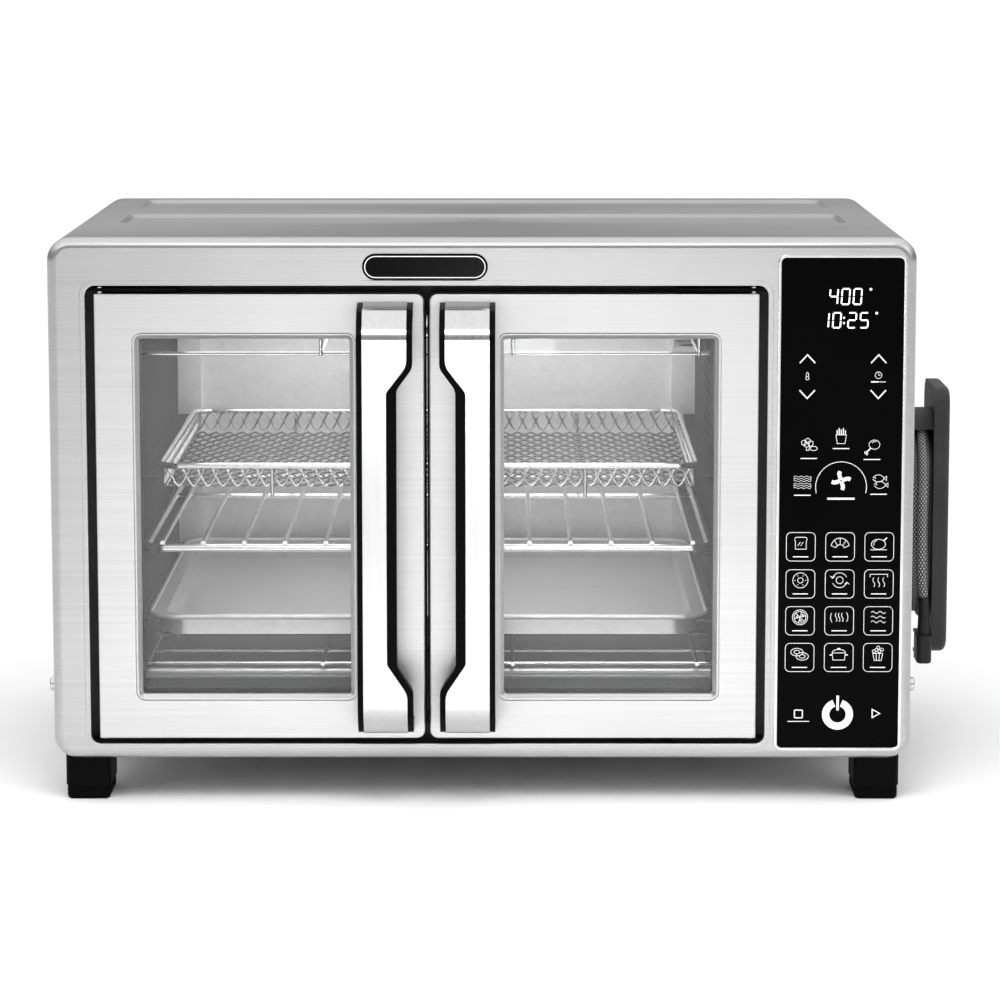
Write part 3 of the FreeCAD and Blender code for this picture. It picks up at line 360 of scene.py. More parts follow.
STEEL = brushed("front_steel", 0.43, 0.55, (6, 500, 1600), 0.30)
DOOR_STEEL = brushed("door_steel", 0.53, 0.67, (6, 500, 1600), 0.32)
CASE_STEEL = brushed(
    "case_steel", 0.33, 0.45, (6, 900, 900), 0.34, side_grain=(900, 6, 1400)
)
HANDLE_STEEL = brushed(
    "handle_steel", 0.53, 0.64, (900, 500, 8), 0.2, anisotropy=0.35
)
GALVANISED = aluminised("galvanised_sheet", 0.44, 0.58, 0.45)
CHAMBER = aluminised("chamber_sheet", 0.68, 0.84, 0.42)
# The chamber's side walls are the same aluminised sheet as its roof and back, painted
# near-black: painted shade for the dark sides of the chamber.
CHAMBER_SIDE_SHADE = aluminised(
    "chamber_side_painted_shade", 0.02, 0.032, 0.6, metal=0.05, shine=0.03
)
# The door seat frame is a galvanised-like sheet painted very dark: painted shade for
# the deep shadow in the gap between the doors.
SEAT_SHADE = aluminised("seat_painted_shade", 0.06, 0.09, 0.5, metal=0.3, shine=0.1)
PAN = aluminised("pan_metal", 0.47, 0.61, 0.3)
CHROME = polished("chrome_wire", 0.72, 0.14)
# The basket's floor and its side and back walls are darker copies of the chrome wire
# of its front wall: painted shade for the inside of the chamber.
MESH_FLOOR_SHADE = polished("basket_mesh_floor_shaded", 0.15, 0.3)
MESH_WALL_SHADE = polished("basket_mesh_wall_shaded", 0.42, 0.25)
BRIGHT = polished("bright_trim", 0.72, 0.16)
SCREW = polished("screw_steel", 0.62, 0.25)
MOTOR = polished("motor_can", 0.42, 0.4)
SHEATH = polished("heater_sheath", 0.50, 0.34, scale=40.0)
BLACK_SHEET = moulded(
    "black_enamel", (0.002, 0.002, 0.0021), 0.38, grain=900.0, shine=0.05
)
HANDLE_BLACK = moulded("handle_plastic", (0.001, 0.001, 0.0011), 0.36, shine=0.04)
BLACK_PLASTIC = moulded("black_plastic", (0.002, 0.002, 0.0021), 0.46, shine=0.05)
WRAP_PLASTIC = moulded(
    "winder_plastic", (0.028, 0.028, 0.0285), 0.5, 1100.0, 0.00009, 0.35
)
RUBBER = moulded("foot_rubber", (0.002, 0.002, 0.002), 0.7, 1000.0, 0.00012, 0.05)
PLUG_BLACK = moulded("plug_plastic", (0.012, 0.012, 0.0124), 0.42, shine=0.3)
CERAMIC = moulded("ceramic_white", (0.74, 0.72, 0.68), 0.5, grain=700.0)
MAGNET = moulded("magnet_coating", (0.05, 0.05, 0.05), 0.4)
GLASS = clear_glass()
PANEL = panel_glass()
BADGE_BLACK = moulded(
    "badge_gloss", (0.001, 0.001, 0.001), 0.16, 500.0, 0.00001, 0.04
)
# The panel print glows faintly: painted brightness, since the print is no lamp. Only
# the display figures are really lit.
PRINT_GLOWING = printed_white("panel_print_glowing", 0.78, 0.35)
LIT = printed_white("display_segment", 0.95, 1.2)
BOARD = circuit_board()
BRAID = braid()

NODE_MATERIALS = {
    "wrapper_shell": CASE_STEEL, "front_frame": STEEL,
    "rear_cover": GALVANISED, "bottom_plate": GALVANISED,
    "housing_screws": SCREW, "foot_pads": RUBBER,
    "hinge_brackets": BLACK_SHEET, "door_catches": MAGNET,
    "chamber_left_wall": CHAMBER_SIDE_SHADE, "chamber_right_wall": CHAMBER_SIDE_SHADE,
    "chamber_roof": CHAMBER, "chamber_floor": CHAMBER, "chamber_back": CHAMBER,
    "door_seat_frame": SEAT_SHADE, "heater_bushes": CERAMIC,
    "lower_guard": CHROME, "upper_guard": CHROME, "wire_rack": CHROME,
    "basket_frame": CHROME, "basket_mesh": CHROME,
    "baking_pan": PAN, "crumb_tray": PAN, "convection_fan": PAN,
    "fan_housing": GALVANISED, "fan_motor": MOTOR,
    "temperature_sensor": CHROME, "thermal_cutoff": CERAMIC,
    "control_panel_bezel": BRIGHT, "control_panel_glass": PANEL,
    "control_board": BOARD, "power_board": BOARD, "badge": BADGE_BLACK,
    "cord_wrap": WRAP_PLASTIC, "cord_gland": BLACK_PLASTIC,
    "power_cord_lead": BRAID, "power_cord_coil": BRAID, "power_plug": PLUG_BLACK,
}
ENDINGS = (
    ("_heater", SHEATH), ("door_panel", DOOR_STEEL), ("door_glass", GLASS),
    ("door_inner_frame", BLACK_SHEET), ("handle_core", HANDLE_BLACK),
    ("handle_cover", HANDLE_STEEL), ("hinge_pins", SCREW),
)


def dress_nodes():
    """Give every CAD node its finished material."""
    for name, node in NODES.items():
        material = NODE_MATERIALS.get(name)
        if material is None and name.startswith("foot_"):
            material = BLACK_PLASTIC
        for ending, choice in ENDINGS:
            if name.endswith(ending):
                material = choice
        for slot in node.material_slots:
            slot.material = material


dress_nodes()


# ----------------------------------------------------------- mesh helpers

def make_object(name, mesh, material, body):
    piece = bpy.data.objects.new(name, mesh)
    bpy.context.scene.collection.objects.link(piece)
    mesh.materials.append(material)
    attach(piece, body)
    return piece


def tube_into(sheet, points, radius, sides=6, closed=False):
    """Add a round wire along the points to a bmesh."""
    count = len(points)
    rings = []
    side = None
    for i, point in enumerate(points):
        if closed:
            ahead = points[(i + 1) % count] - points[i - 1]
        else:
            ahead = points[min(i + 1, count - 1)] - points[max(i - 1, 0)]
        ahead.normalize()
        if side is None:
            guide = Vector((0, 0, 1)) if abs(ahead.z) < 0.9 else Vector((1, 0, 0))
            side = ahead.cross(guide).normalized()
        side = (side - ahead * side.dot(ahead)).normalized()
        up = ahead.cross(side)
        ring = []
        for k in range(sides):
            angle = 2 * math.pi * k / sides
            offset = side * math.cos(angle) + up * math.sin(angle)
            ring.append(sheet.verts.new(point + offset * radius))
        rings.append(ring)
    pairs = list(zip(rings, rings[1:]))
    if closed:
        pairs.append((rings[-1], rings[0]))
    for first, second in pairs:
        for k in range(sides):
            n = (k + 1) % sides
            face = sheet.faces.new((first[k], first[n], second[n], second[k]))
            face.smooth = True
    if not closed:
        sheet.faces.new(list(reversed(rings[0])))
        sheet.faces.new(rings[-1])


def finish_mesh(sheet, name):
    bmesh.ops.recalc_face_normals(sheet, faces=sheet.faces)
    mesh = bpy.data.meshes.new(name)
    sheet.to_mesh(mesh)
    sheet.free()
    return mesh


# ------------------------------------------------------------ air-fry mesh
# Places are in casing millimetres, wire radii and the wall's pitch in metres.
CHAMBER_MIDDLE = -33.5
BASKET_HALF = 164.5
BASKET_FRONT = 77.0
BASKET_BACK = 349.0
BASKET_LOW = 184.2
BASKET_RIM = 197.0
FLOOR_PITCH_X = 9.0
FLOOR_PITCH_Y = 13.0
FLOOR_LIFT = 0.3
FLOOR_WIRE = 0.0008
WALL_PITCH = 0.018
WALL_WIRE = 0.0007
WALL_STEPS = 8


def basket_floor():
    """Expanded-metal floor: zigzag strands that meet at every other bend."""
    sheet = bmesh.new()
    half_pitch_x = FLOOR_PITCH_X / 2
    columns = int(2 * BASKET_HALF / half_pitch_x)
    rows = int((BASKET_BACK - BASKET_FRONT) / FLOOR_PITCH_Y)
    x0 = CHAMBER_MIDDLE - BASKET_HALF
    for row in range(rows):
        y = BASKET_FRONT + FLOOR_PITCH_Y * (row + 0.5)
        flip = 1 if row % 2 else -1
        points = []
        for column in range(columns + 1):
            x = x0 + column * half_pitch_x
            swing = FLOOR_PITCH_Y * 0.5 * (1 if column % 2 else -1) * flip
            lift = FLOOR_LIFT if column % 2 else 0.0
            points.append(at(x, y + swing, BASKET_LOW + lift))
        tube_into(sheet, points, FLOOR_WIRE, 4)
    return finish_mesh(sheet, "basket_floor_mesh")


def basket_wall_points(start, end, phase):
    """A wave of wire that climbs and falls between the floor and the rim."""
    run = end - start
    waves = max(1, round(run.length / WALL_PITCH))
    steps = waves * WALL_STEPS
    points = []
    for i in range(steps + 1):
        share = i / steps
        swing = 0.5 - 0.5 * math.cos(2 * math.pi * (share * waves + phase))
        place = start + run * share
        place.z = (BASKET_LOW + (BASKET_RIM - BASKET_LOW) * swing) / 1000
        points.append(place)
    return points


def basket_walls(sides, name):
    """Two crossing waves of wire make the open lattice of each wall."""
    sheet = bmesh.new()
    x0 = CHAMBER_MIDDLE - BASKET_HALF
    x1 = CHAMBER_MIDDLE + BASKET_HALF
    corners = [
        at(x0, BASKET_FRONT, 0), at(x1, BASKET_FRONT, 0),
        at(x1, BASKET_BACK, 0), at(x0, BASKET_BACK, 0),
    ]
    for i in sides:
        start = corners[i]
        end = corners[(i + 1) % 4]
        for phase in (0.0, 0.5):
            tube_into(sheet, basket_wall_points(start, end, phase), WALL_WIRE, 5)
    return finish_mesh(sheet, name)


floor_piece = make_object(
    "basket_floor_mesh", basket_floor(), MESH_FLOOR_SHADE, "air_fry_basket"
)
make_object(
    "basket_front_mesh", basket_walls([0], "basket_front_mesh"), CHROME,
    "air_fry_basket",
)
make_object(
    "basket_wall_mesh", basket_walls([1, 2, 3], "basket_wall_mesh"), MESH_WALL_SHADE,
    "air_fry_basket",
)
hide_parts("basket_mesh")


# ------------------------------------------------------------ the power cord
CORD_DIAMETER = 0.0055
WRAP_Y = 158.5
WRAP_LOW = 119.8
WRAP_HIGH = 186.5
INNER_TURN = 26.0
OUTER_TURN = 31.7
STRAIGHT_SHARE = 0.18
BEND_SHARE = 0.32
GATHER = 0.9
LAST_FALL_X = 278.6
LAST_FALL_LOW_X = 278.9
PLUG_X = 280.5
PLUG_NECK_TOP = 106.0
# From the gland at the back, round the rear edge and forward to the winder.
FREE_ROUTE = [
    (205.0, 371.0, 75.0),
    (205.6, 398.0, 74.6),
    (217.6, 414.7, 74.0),
    (237.0, 421.0, 73.2),
    (256.4, 414.7, 72.4),
    (268.4, 398.2, 71.6),
    (269.6, 366.0, 70.8),
    (268.6, 318.0, 71.0),
    (269.2, 276.0, 73.4),
    (268.2, 243.0, 77.0),
    (267.6, 213.0, 80.6),
    (267.2, 198.6, 88.6),
    (266.8, 190.3, 102.9),
    (266.6, 190.0, 119.0),
]


def between(t, stops):
    """Read a smooth value at t from (t, value) stops."""
    for (t0, v0), (t1, v1) in zip(stops, stops[1:]):
        if t <= t1:
            share = max(0.0, (t - t0) / (t1 - t0))
            eased = share * share * (3 - 2 * share)
            return v0 + (v1 - v0) * eased
    return stops[-1][1]


# How far out in x, and how far from the winder's middle, at each turn count.
SIDEWAYS = [
    (0.0, 266.6), (0.25, 268.5), (0.5, 274.4), (1.0, 277.4),
    (1.5, 281.2), (2.0, 281.4), (2.25, 278.4), (2.5, LAST_FALL_X),
]
OUTWARD = [
    (0.0, OUTER_TURN), (0.4, INNER_TURN), (1.6, INNER_TURN),
    (2.0, OUTER_TURN), (2.5, OUTER_TURN),
]


def wound_points():
    """Two and a half turns up the back and down the front of the winder."""
    points = []
    bend_steps = 8
    straight_steps = 4
    height = WRAP_HIGH - WRAP_LOW
    for half in range(5):
        rising = half % 2 == 0
        for i in range(1, straight_steps):
            t = half / 2 + STRAIGHT_SHARE * i / straight_steps
            z = WRAP_LOW + height * i / straight_steps
            if not rising:
                z = WRAP_HIGH - height * i / straight_steps
            side = 1 if rising else -1
            gather = math.sin(math.pi * i / straight_steps) * GATHER
            x = between(t, SIDEWAYS) + gather * (1 if half % 4 < 2 else -1)
            points.append(at(x, WRAP_Y + side * between(t, OUTWARD), z))
        centre = WRAP_HIGH if rising else WRAP_LOW
        for i in range(bend_steps + 1):
            t = half / 2 + STRAIGHT_SHARE + BEND_SHARE * i / bend_steps
            angle = math.pi * i / bend_steps
            if not rising:
                angle += math.pi
            radius = between(t, OUTWARD)
            y = WRAP_Y + radius * math.cos(angle)
            z = centre + radius * math.sin(angle)
            points.append(at(between(t, SIDEWAYS), y, z))
    return points


def cord_points():
    """The free run, the turns, and the last fall down to the plug."""
    points = [at(*p) for p in FREE_ROUTE] + wound_points()
    y = WRAP_Y - OUTER_TURN
    height = WRAP_HIGH - WRAP_LOW
    for i in range(1, 4):
        points.append(at(LAST_FALL_X, y, WRAP_HIGH - height * i / 4))
    points.append(at(LAST_FALL_LOW_X, y, WRAP_LOW - 4))
    points.append(at(PLUG_X, y - 0.4, PLUG_NECK_TOP))
    return points


def make_cord():
    curve = bpy.data.curves.new("power_cord", "CURVE")
    curve.dimensions = "3D"
    curve.bevel_depth = CORD_DIAMETER / 2
    curve.bevel_resolution = 5
    curve.use_fill_caps = True
    points = cord_points()
    spline = curve.splines.new("NURBS")
    spline.points.add(len(points) - 1)
    for control, point in zip(spline.points, points):
        control.co = (*point, 1.0)
    spline.order_u = 3
    spline.use_endpoint_u = True
    spline.resolution_u = 6
    cord = bpy.data.objects.new("power_cord", curve)
    bpy.context.scene.collection.objects.link(cord)
    curve.materials.append(BRAID)
    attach(cord, "oven_body")
    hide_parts("power_cord_lead", "power_cord_coil")


make_cord()


# ------------------------------------------------------ print on the panel
# All in casing millimetres. The print stands between two depths just in
# front of the glass, so that it is a solid of its own.
PRINT_FRONT = -0.09
PRINT_BACK = -0.02
LINE = 0.3


def ribbon_into(sheet, points, width, front, back, closed=False):
    """A flat stroke of even width, drawn upright in casing x and z."""
    count = len(points)
    rings = []
    for i, (x, z) in enumerate(points):
        if closed:
            before = points[i - 1]
            after = points[(i + 1) % count]
        else:
            before = points[max(i - 1, 0)]
            after = points[min(i + 1, count - 1)]
        into = Vector((x - before[0], z - before[1]))
        out = Vector((after[0] - x, after[1] - z))
        into = into.normalized() if into.length > 1e-6 else out.normalized()
        out = out.normalized() if out.length > 1e-6 else into
        along = (into + out).normalized() if (into + out).length > 1e-6 else into
        square = Vector((-along.y, along.x))
        stretch = 1 / max(0.5, abs(square.dot(Vector((-into.y, into.x)))))
        half = square * width / 2 * stretch
        ring = [
            at(x + half.x, front, z + half.y), at(x - half.x, front, z - half.y),
            at(x - half.x, back, z - half.y), at(x + half.x, back, z + half.y),
        ]
        rings.append([sheet.verts.new(corner) for corner in ring])
    pairs = list(zip(rings, rings[1:]))
    if closed:
        pairs.append((rings[-1], rings[0]))
    for first, second in pairs:
        for k in range(4):
            n = (k + 1) % 4
            sheet.faces.new((first[k], first[n], second[n], second[k]))
    if not closed:
        sheet.faces.new(list(reversed(rings[0])))
        sheet.faces.new(rings[-1])


class Print:
    """Strokes on the panel, drawn about a middle point in millimetres."""

    def __init__(self, line=LINE):
        self.sheet = bmesh.new()
        self.line = line
        self.x = 0.0
        self.z = 0.0
        self.size = 1.0

    def move(self, x, z, size=1.0):
        self.x = x
        self.z = z
        self.size = size

    def stroke(self, points, width=None, closed=False):
        placed = [(self.x + x * self.size, self.z + z * self.size) for x, z in points]
        ribbon_into(
            self.sheet, placed, width or self.line, PRINT_FRONT, PRINT_BACK, closed
        )

    def arc(self, x, z, radius, start, end, width=None, squash=1.0, steps=20):
        """Part of a circle or ellipse; angles in degrees from +x to +z."""
        whole = abs(end - start) >= 360
        count = steps if whole else steps + 1
        points = []
        for i in range(count):
            angle = math.radians(start + (end - start) * i / steps)
            rise = radius * squash * math.sin(angle)
            points.append((x + radius * math.cos(angle), z + rise))
        self.stroke(points, width, whole)

    def ring(self, x, z, radius, width=None, squash=1.0):
        self.arc(x, z, radius, 0, 360, width, squash)

    def wave(self, x, z, length, swing, turns, upright=False, width=None):
        points = []
        for i in range(turns * 6 + 1):
            share = i / (turns * 6)
            side = swing * math.sin(2 * math.pi * share * turns)
            run = length * (share - 0.5)
            points.append((x + side, z + run) if upright else (x + run, z + side))
        self.stroke(points, width)

    def rounded(self, half_x, half_z, corner, width=None):
        points = []
        quarters = ((1, 1, 0), (-1, 1, 90), (-1, -1, 180), (1, -1, 270))
        for sign_x, sign_z, start in quarters:
            for i in range(6):
                angle = math.radians(start + 90 * i / 5)
                points.append((
                    sign_x * (half_x - corner) + corner * math.cos(angle),
                    sign_z * (half_z - corner) + corner * math.sin(angle),
                ))
        self.stroke(points, width, True)

    def finish(self, name, material):
        mesh = finish_mesh(self.sheet, name)
        make_object(name, mesh, material, "oven_body")


# Each draw_ function below draws one plain symbol about its own middle.

def draw_toast(ink):
    ink.stroke(
        [(-2.6, -2.6), (2.6, -2.6), (2.6, 1.2), (3.1, 2.2), (2.4, 3.2),
         (-2.4, 3.2), (-3.1, 2.2), (-2.6, 1.2)],
        closed=True,
    )
    for x in (-0.9, 0.5):
        ink.stroke([(x - 0.5, -0.9), (x + 0.7, 0.9)])


def draw_croissant(ink):
    ink.arc(0, -1.6, 4.4, 10, 170)
    ink.arc(0, -2.4, 2.0, 20, 160)
    for angle in (10, 50, 90, 130, 170):
        turn = math.radians(angle)
        ink.stroke([(2.0 * math.cos(turn), -2.2 + 1.8 * math.sin(turn)),
                    (4.4 * math.cos(turn), -1.6 + 4.4 * math.sin(turn))])


def draw_roast(ink):
    ink.ring(-0.4, -0.2, 3.4, squash=0.72)
    ink.stroke([(2.0, 1.4), (3.6, 3.0)], 0.7)
    ink.arc(-0.8, -0.1, 1.8, 100, 200)
    ink.stroke([(-4.2, -2.9), (3.6, -2.9)])


def draw_bagel(ink):
    ink.ring(0, 0.3, 3.7)
    ink.ring(0, 0.3, 1.3)
    for angle in range(0, 360, 60):
        turn = math.radians(angle)
        ink.stroke([(2.3 * math.cos(turn), 0.3 + 2.3 * math.sin(turn)),
                    (2.8 * math.cos(turn), 0.3 + 2.8 * math.sin(turn))])


def draw_turning_air(ink):
    for start, side in ((25, -1), (205, 1)):
        ink.arc(0, 0.4, 3.6, start, start + 140)
        turn = math.radians(start + 140)
        x = 3.6 * math.cos(turn)
        z = 0.4 + 3.6 * math.sin(turn)
        ink.stroke([(x + 1.1, z - side * 1.1), (x, z), (x - 1.1, z - side * 1.1)])
    ink.ring(0, 0.4, 1.7)


def draw_top_heat(ink):
    ink.stroke([(-4.2, 1.9), (-4.2, 3.3), (4.2, 3.3), (4.2, 1.9)])
    for x in (-2.4, 0.0, 2.4):
        ink.wave(x, -0.6, 4.6, 0.5, 1, upright=True)


def draw_pizza(ink):
    ink.ring(0, 0.3, 3.7)
    ink.ring(0, 0.3, 2.9)
    for angle in (15, 75, 135):
        turn = math.radians(angle)
        x = 2.9 * math.cos(turn)
        z = 2.9 * math.sin(turn)
        ink.stroke([(-x, 0.3 - z), (x, 0.3 + z)])
    for x, z in ((1.3, 1.4), (-1.4, 0.6), (0.3, -1.3)):
        ink.ring(x, z, 0.4)


def draw_reheat(ink):
    for x in (-1.5, 0.0, 1.5):
        ink.wave(x, 0.3, 4.2, 0.45, 1, upright=True)
    ink.arc(0, 0.3, 4.2, 150, 215)
    ink.arc(0, 0.3, 4.2, -30, 35)


def draw_warm(ink):
    for z in (-1.9, 0.4, 2.7):
        ink.wave(0, z, 7.0, 0.55, 2)


def draw_slices(ink):
    for x, z in ((-1.3, 1.2), (1.3, -0.9)):
        ink.ring(x, z, 3.0, squash=0.62)
        ink.ring(x, z, 1.4, squash=0.62)


def draw_pot(ink):
    ink.stroke([(-3.2, 0.8), (-2.8, -2.7), (2.8, -2.7), (3.2, 0.8)], closed=True)
    ink.arc(0, 0.9, 3.2, 0, 180, squash=0.5)
    ink.stroke([(-0.7, 2.9), (0.7, 2.9)], 0.6)
    ink.stroke([(-4.4, -0.2), (-3.3, -0.2)], 0.6)
    ink.stroke([(3.3, -0.2), (4.4, -0.2)], 0.6)


def draw_popcorn(ink):
    ink.stroke([(-2.4, 0.6), (-1.7, -2.9), (1.7, -2.9), (2.4, 0.6)], closed=True)
    for x in (-0.8, 0.8):
        ink.stroke([(x, 0.6), (x * 0.8, -2.9)])
    for x, z in ((-1.8, 1.6), (-0.6, 2.3), (0.8, 1.7), (1.9, 2.4), (0.2, 3.4)):
        ink.ring(x, z, 0.75)


def draw_vegetables(ink):
    for x, z in ((-2.6, 1.9), (-0.6, 2.9), (0.9, 1.5), (-1.2, 0.9)):
        ink.ring(x, z, 1.4)
    ink.stroke([(-1.2, -0.4), (-1.4, -2.2), (0.0, -2.2), (0.4, 0.1)])
    ink.ring(2.6, -1.2, 1.9, squash=0.6)


def draw_fries(ink):
    ink.stroke([(-2.8, 0.8), (-2.1, -3.9), (2.1, -3.9), (2.8, 0.8)], closed=True)
    for x, top in ((-2.2, 3.4), (-1.1, 4.4), (0.0, 3.7), (1.1, 4.5), (2.2, 3.3)):
        ink.stroke([(x, 0.9), (x, top)], 0.55)


def draw_drumstick(ink):
    ink.ring(1.2, 1.4, 2.9, squash=0.86)
    ink.stroke([(-0.8, -0.5), (-3.0, -2.9)], 0.7)
    ink.ring(-3.5, -2.9, 0.6)
    ink.ring(-2.9, -3.5, 0.6)
    ink.arc(1.4, 1.5, 1.7, 60, 150)


def draw_bacon(ink):
    for middle in (2.3, -1.5):
        for z in (-1.2, 0.0, 1.2):
            ink.wave(0, middle + z, 9.0, 0.32, 3, width=0.2)
        for x in (-4.5, 4.5):
            ink.stroke([(x, middle - 1.2), (x, middle + 1.2)], 0.2)


def draw_fish(ink):
    for x, z in ((-0.2, 2.0), (0.6, -1.6)):
        ink.arc(x, z - 1.7, 3.6, 35, 145)
        ink.arc(x, z + 1.7, 3.6, 215, 325)
        tail = [(x + 2.9, z), (x + 4.4, z + 1.2), (x + 4.4, z - 1.2)]
        ink.stroke(tail, closed=True)
        ink.ring(x - 1.8, z + 0.3, 0.25)


KEYS = (
    (draw_toast, draw_croissant, draw_roast),
    (draw_bagel, draw_turning_air, draw_top_heat),
    (draw_pizza, draw_reheat, draw_warm),
    (draw_slices, draw_pot, draw_popcorn),
)
KEY_COLUMNS = (192.1, 215.8, 239.4)
KEY_ROWS = (158.3, 135.6, 113.0, 90.5)
KEY_HALF = 8.7
KEY_CORNER = 2.8
KEY_PICTURE_SIZE = 1.25
FOOD_PICTURE_SIZE = 1.12
WORD_BAR = 0.55
FOODS = (
    (draw_vegetables, 196.3, 219.4), (draw_fries, 215.6, 225.4),
    (draw_drumstick, 234.3, 218.8), (draw_bacon, 192.7, 197.1),
    (draw_fish, 238.5, 197.7),
)


def draw_keys(ink):
    """Twelve outlined keys; a short bar stands where each one's word was."""
    for row, z in zip(KEYS, KEY_ROWS):
        for picture, x in zip(row, KEY_COLUMNS):
            ink.move(x, z)
            ink.rounded(KEY_HALF, KEY_HALF, KEY_CORNER)
            ink.stroke([(-4.6, -6.1), (4.6, -6.1)], WORD_BAR)
            ink.move(x, z + 1.8, KEY_PICTURE_SIZE)
            picture(ink)


def draw_foods(ink):
    """The five foods round the fan, each over a bar for its word."""
    for picture, x, z in FOODS:
        ink.move(x, z, FOOD_PICTURE_SIZE)
        picture(ink)
        ink.move(x, z)
        ink.stroke([(-5.0, -7.4), (5.0, -7.4)], WORD_BAR)


def draw_fan_choice(ink):
    """The arc, the four-bladed fan and the bar in the middle of the foods."""
    ink.move(215.9, 194.7)
    ink.arc(0, 0, 15.3, -14, 194, width=0.35, steps=40)
    ink.move(215.9, 198.6)
    for quarter in range(4):
        turn = math.radians(90 * quarter)
        blade = []
        for along, across in ((1.2, 0.2), (2.6, 0.9), (4.2, 1.2), (5.6, 0.7)):
            blade.append((
                along * math.cos(turn) - across * math.sin(turn),
                along * math.sin(turn) + across * math.cos(turn),
            ))
        ink.stroke(blade, 2.3)
    ink.ring(0, 0, 1.0, 0.9)
    ink.move(215.9, 187.6)
    ink.stroke([(-8.2, 0), (8.2, 0)], 1.2)


def draw_setting_keys(ink):
    """The arrows, a thermometer between one pair and a clock in the other."""
    for x in (194.9, 237.5):
        for z, up in ((272.2, 1), (250.7, -1)):
            ink.move(x, z)
            ink.stroke([(-4.6, -2.6 * up), (0, 2.4 * up), (4.6, -2.6 * up)], 0.75)
    ink.move(194.9, 261.8)
    ink.ring(0, -1.3, 1.0)
    ink.arc(0, 0.4, 0.7, -40, 220, squash=2.6)
    ink.move(237.5, 262.3)
    ink.ring(0, 0, 2.0)
    ink.stroke([(0, 1.3), (0, 0), (1.0, 0)])
    ink.stroke([(-4.4, -4.0), (0.0, -4.0)], 0.75)
    ink.stroke([(0.0, -4.0), (4.4, -4.0)], 0.35)


def draw_power_keys(ink):
    """Stop, the ringed on-off key and start."""
    ink.move(191.8, 55.7)
    ink.rounded(2.4, 2.4, 0.5, 0.6)
    ink.stroke([(-6.6, -4.6), (6.6, -4.6)], 0.4)
    ink.move(238.5, 56.0)
    ink.stroke([(-2.0, -2.5), (2.6, 0), (-2.0, 2.5)], 0.6, closed=True)
    ink.move(215.5, 55.4)
    ink.arc(0, 0, 7.2, 108, 432, width=4.4, steps=40)
    ink.stroke([(0, 2.6), (0, 11.6)], 1.5)


# Which of the seven bars are lit: top, upper left, upper right, middle,
# lower left, lower right, bottom.
SEGMENTS = {
    "0": (1, 1, 1, 0, 1, 1, 1), "1": (0, 0, 1, 0, 0, 1, 0),
    "2": (1, 0, 1, 1, 1, 0, 1), "4": (0, 1, 1, 1, 0, 1, 0),
    "5": (1, 1, 0, 1, 0, 1, 1),
}


def draw_digit(ink, digit, x, z, wide, high):
    """One seven-segment figure with its lower left corner at x, z."""
    lean = 0.06
    gap = 0.35
    half = high / 2
    bars = (
        ((gap, high), (wide - gap, high)),
        ((0, half + gap), (0, high - gap)), ((wide, half + gap), (wide, high - gap)),
        ((gap, half), (wide - gap, half)),
        ((0, gap), (0, half - gap)), ((wide, gap), (wide, half - gap)),
        ((gap, 0), (wide - gap, 0)),
    )
    ink.move(x, z)
    for lit, bar in zip(SEGMENTS[digit], bars):
        if lit:
            ink.stroke([(px + lean * pz, pz) for px, pz in bar], 0.8)


def draw_readings(ink):
    """A temperature and a time of day, with a degree ring after each."""
    for digit, x in zip("400", (207.6, 214.7, 221.8)):
        draw_digit(ink, digit, x, 304.9, 4.6, 9.3)
    for digit, x in zip("1025", (202.4, 209.6, 218.7, 225.9)):
        draw_digit(ink, digit, x, 290.9, 4.6, 8.9)
    ink.move(216.4, 295.2)
    for z in (-1.6, 1.6):
        ink.stroke([(-0.5, z), (0.5, z)], 1.0)
    for x, z in ((232.2, 313.9), (235.9, 299.6)):
        ink.move(x, z)
        ink.ring(0, 0, 0.6, 0.35)


def make_panel_print():
    ink = Print()
    draw_keys(ink)
    draw_foods(ink)
    draw_fan_choice(ink)
    draw_setting_keys(ink)
    draw_power_keys(ink)
    ink.finish("panel_print_glowing", PRINT_GLOWING)
    readings = Print(0.9)
    draw_readings(readings)
    readings.finish("display_figures", LIT)


BADGE_RIGHT = -4.3
BADGE_LEFT = -63.5
BADGE_Z = 327.3
BADGE_LINE_RADIUS = 6.3
BADGE_LINE_FRONT = -1.68
BADGE_LINE_BACK = -1.6


def make_badge_line():
    """The thin bright line round the edge of the blank badge, in the print whose glow
    is painted brightness.
    """
    sheet = bmesh.new()
    points = []
    for middle, start in ((BADGE_RIGHT, -90), (BADGE_LEFT, 90)):
        for i in range(17):
            angle = math.radians(start + 180 * i / 16)
            x = middle + BADGE_LINE_RADIUS * math.cos(angle)
            points.append((x, BADGE_Z + BADGE_LINE_RADIUS * math.sin(angle)))
    ribbon_into(sheet, points, 0.55, BADGE_LINE_FRONT, BADGE_LINE_BACK, closed=True)
    mesh = finish_mesh(sheet, "badge_line")
    make_object("badge_line", mesh, PRINT_GLOWING, "oven_body")


make_panel_print()
make_badge_line()


# ------------------------------------------------------- lights and ground

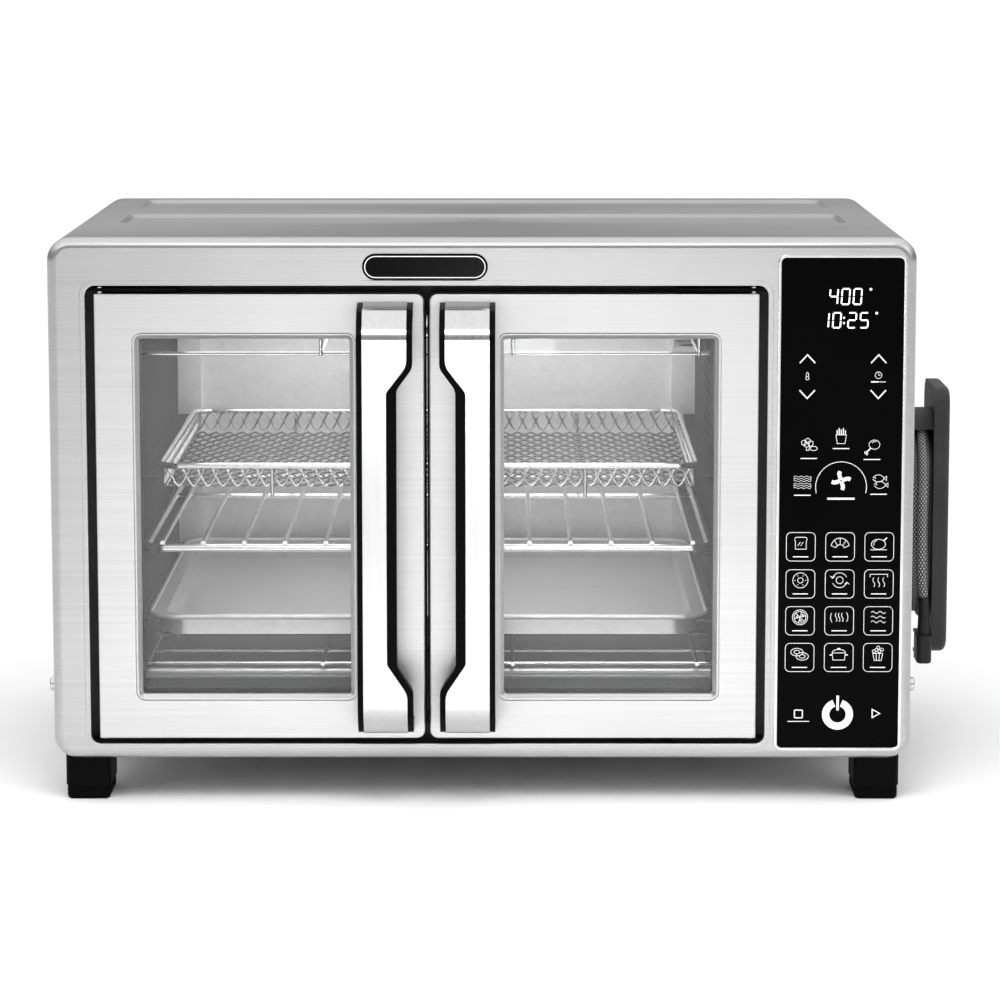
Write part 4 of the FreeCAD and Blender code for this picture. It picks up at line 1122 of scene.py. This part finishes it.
def area_light(name, place, target, width, height, power, spread=180):
    """A soft light; place, target and size in metres, spread in degrees."""
    data = bpy.data.lights.new(name, "AREA")
    data.spread = math.radians(spread)
    data.shape = "RECTANGLE"
    data.size = width
    data.size_y = height
    data.energy = power
    light = bpy.data.objects.new(name, data)
    bpy.context.scene.collection.objects.link(light)
    light.location = place
    aim = Vector(target) - Vector(place)
    light.rotation_euler = aim.to_track_quat("-Z", "Y").to_euler()


def make_ground():
    mesh = bpy.data.meshes.new("ground")
    reach = 60.0
    corners = [
        (-reach, -reach, 0), (reach, -reach, 0), (reach, reach, 0), (-reach, reach, 0),
    ]
    mesh.from_pydata(corners, [], [(0, 1, 2, 3)])
    ground = bpy.data.objects.new("ground", mesh)
    bpy.context.scene.collection.objects.link(ground)
    material, tree, shader = new_material("ground_pale")
    shader.inputs["Base Color"].default_value = (0.93, 0.93, 0.93, 1)
    shader.inputs["Roughness"].default_value = 1.0
    shader.inputs["Specular IOR Level"].default_value = 0.0
    mesh.materials.append(material)


def make_world():
    """A bright ceiling over a dim horizon, so polished edges show contrast."""
    world = bpy.data.worlds.new("studio")
    world.use_nodes = True
    tree = world.node_tree
    background = tree.nodes["Background"]
    source = add(tree, "ShaderNodeTexCoord")
    split = add(tree, "ShaderNodeSeparateXYZ")
    tree.links.new(source.outputs["Generated"], split.inputs["Vector"])
    sky = ramp(
        tree, split.outputs["Z"],
        [(0.05, 0.3), (0.3, 0.6), (0.62, 1.55), (1.0, 1.75)],
    )
    tree.links.new(sky, background.inputs["Color"])
    background.inputs["Strength"].default_value = 0.8
    bpy.context.scene.world = world


def make_lights():
    area_light("key", (-1.5, -2.0, 1.9), (0, 0, 0.1), 1.5, 1.3, 6)
    area_light("fill", (1.9, -1.7, 1.4), (0, 0, 0.1), 1.3, 1.3, 6.5)
    # The front faces mirror the floor before the oven, which this one lights.
    area_light("front_floor", (0.0, -0.95, 0.75), (0, -0.65, 0), 0.4, 0.6, 2.2, 85)
    # Low in front, it brightens the brushed steel towards the middle.
    area_light("front_low", (0.0, -2.6, 0.07), (0, 0, 0.1), 0.12, 0.12, 1.4)
    inside = at(CHAMBER_MIDDLE, 190, 293)
    area_light("chamber", inside, inside - Vector((0, 0, 1)), 0.3, 0.28, 0.8)
    bpy.context.scene.view_settings.view_transform = "Standard"


make_ground()
make_world()
make_lights()
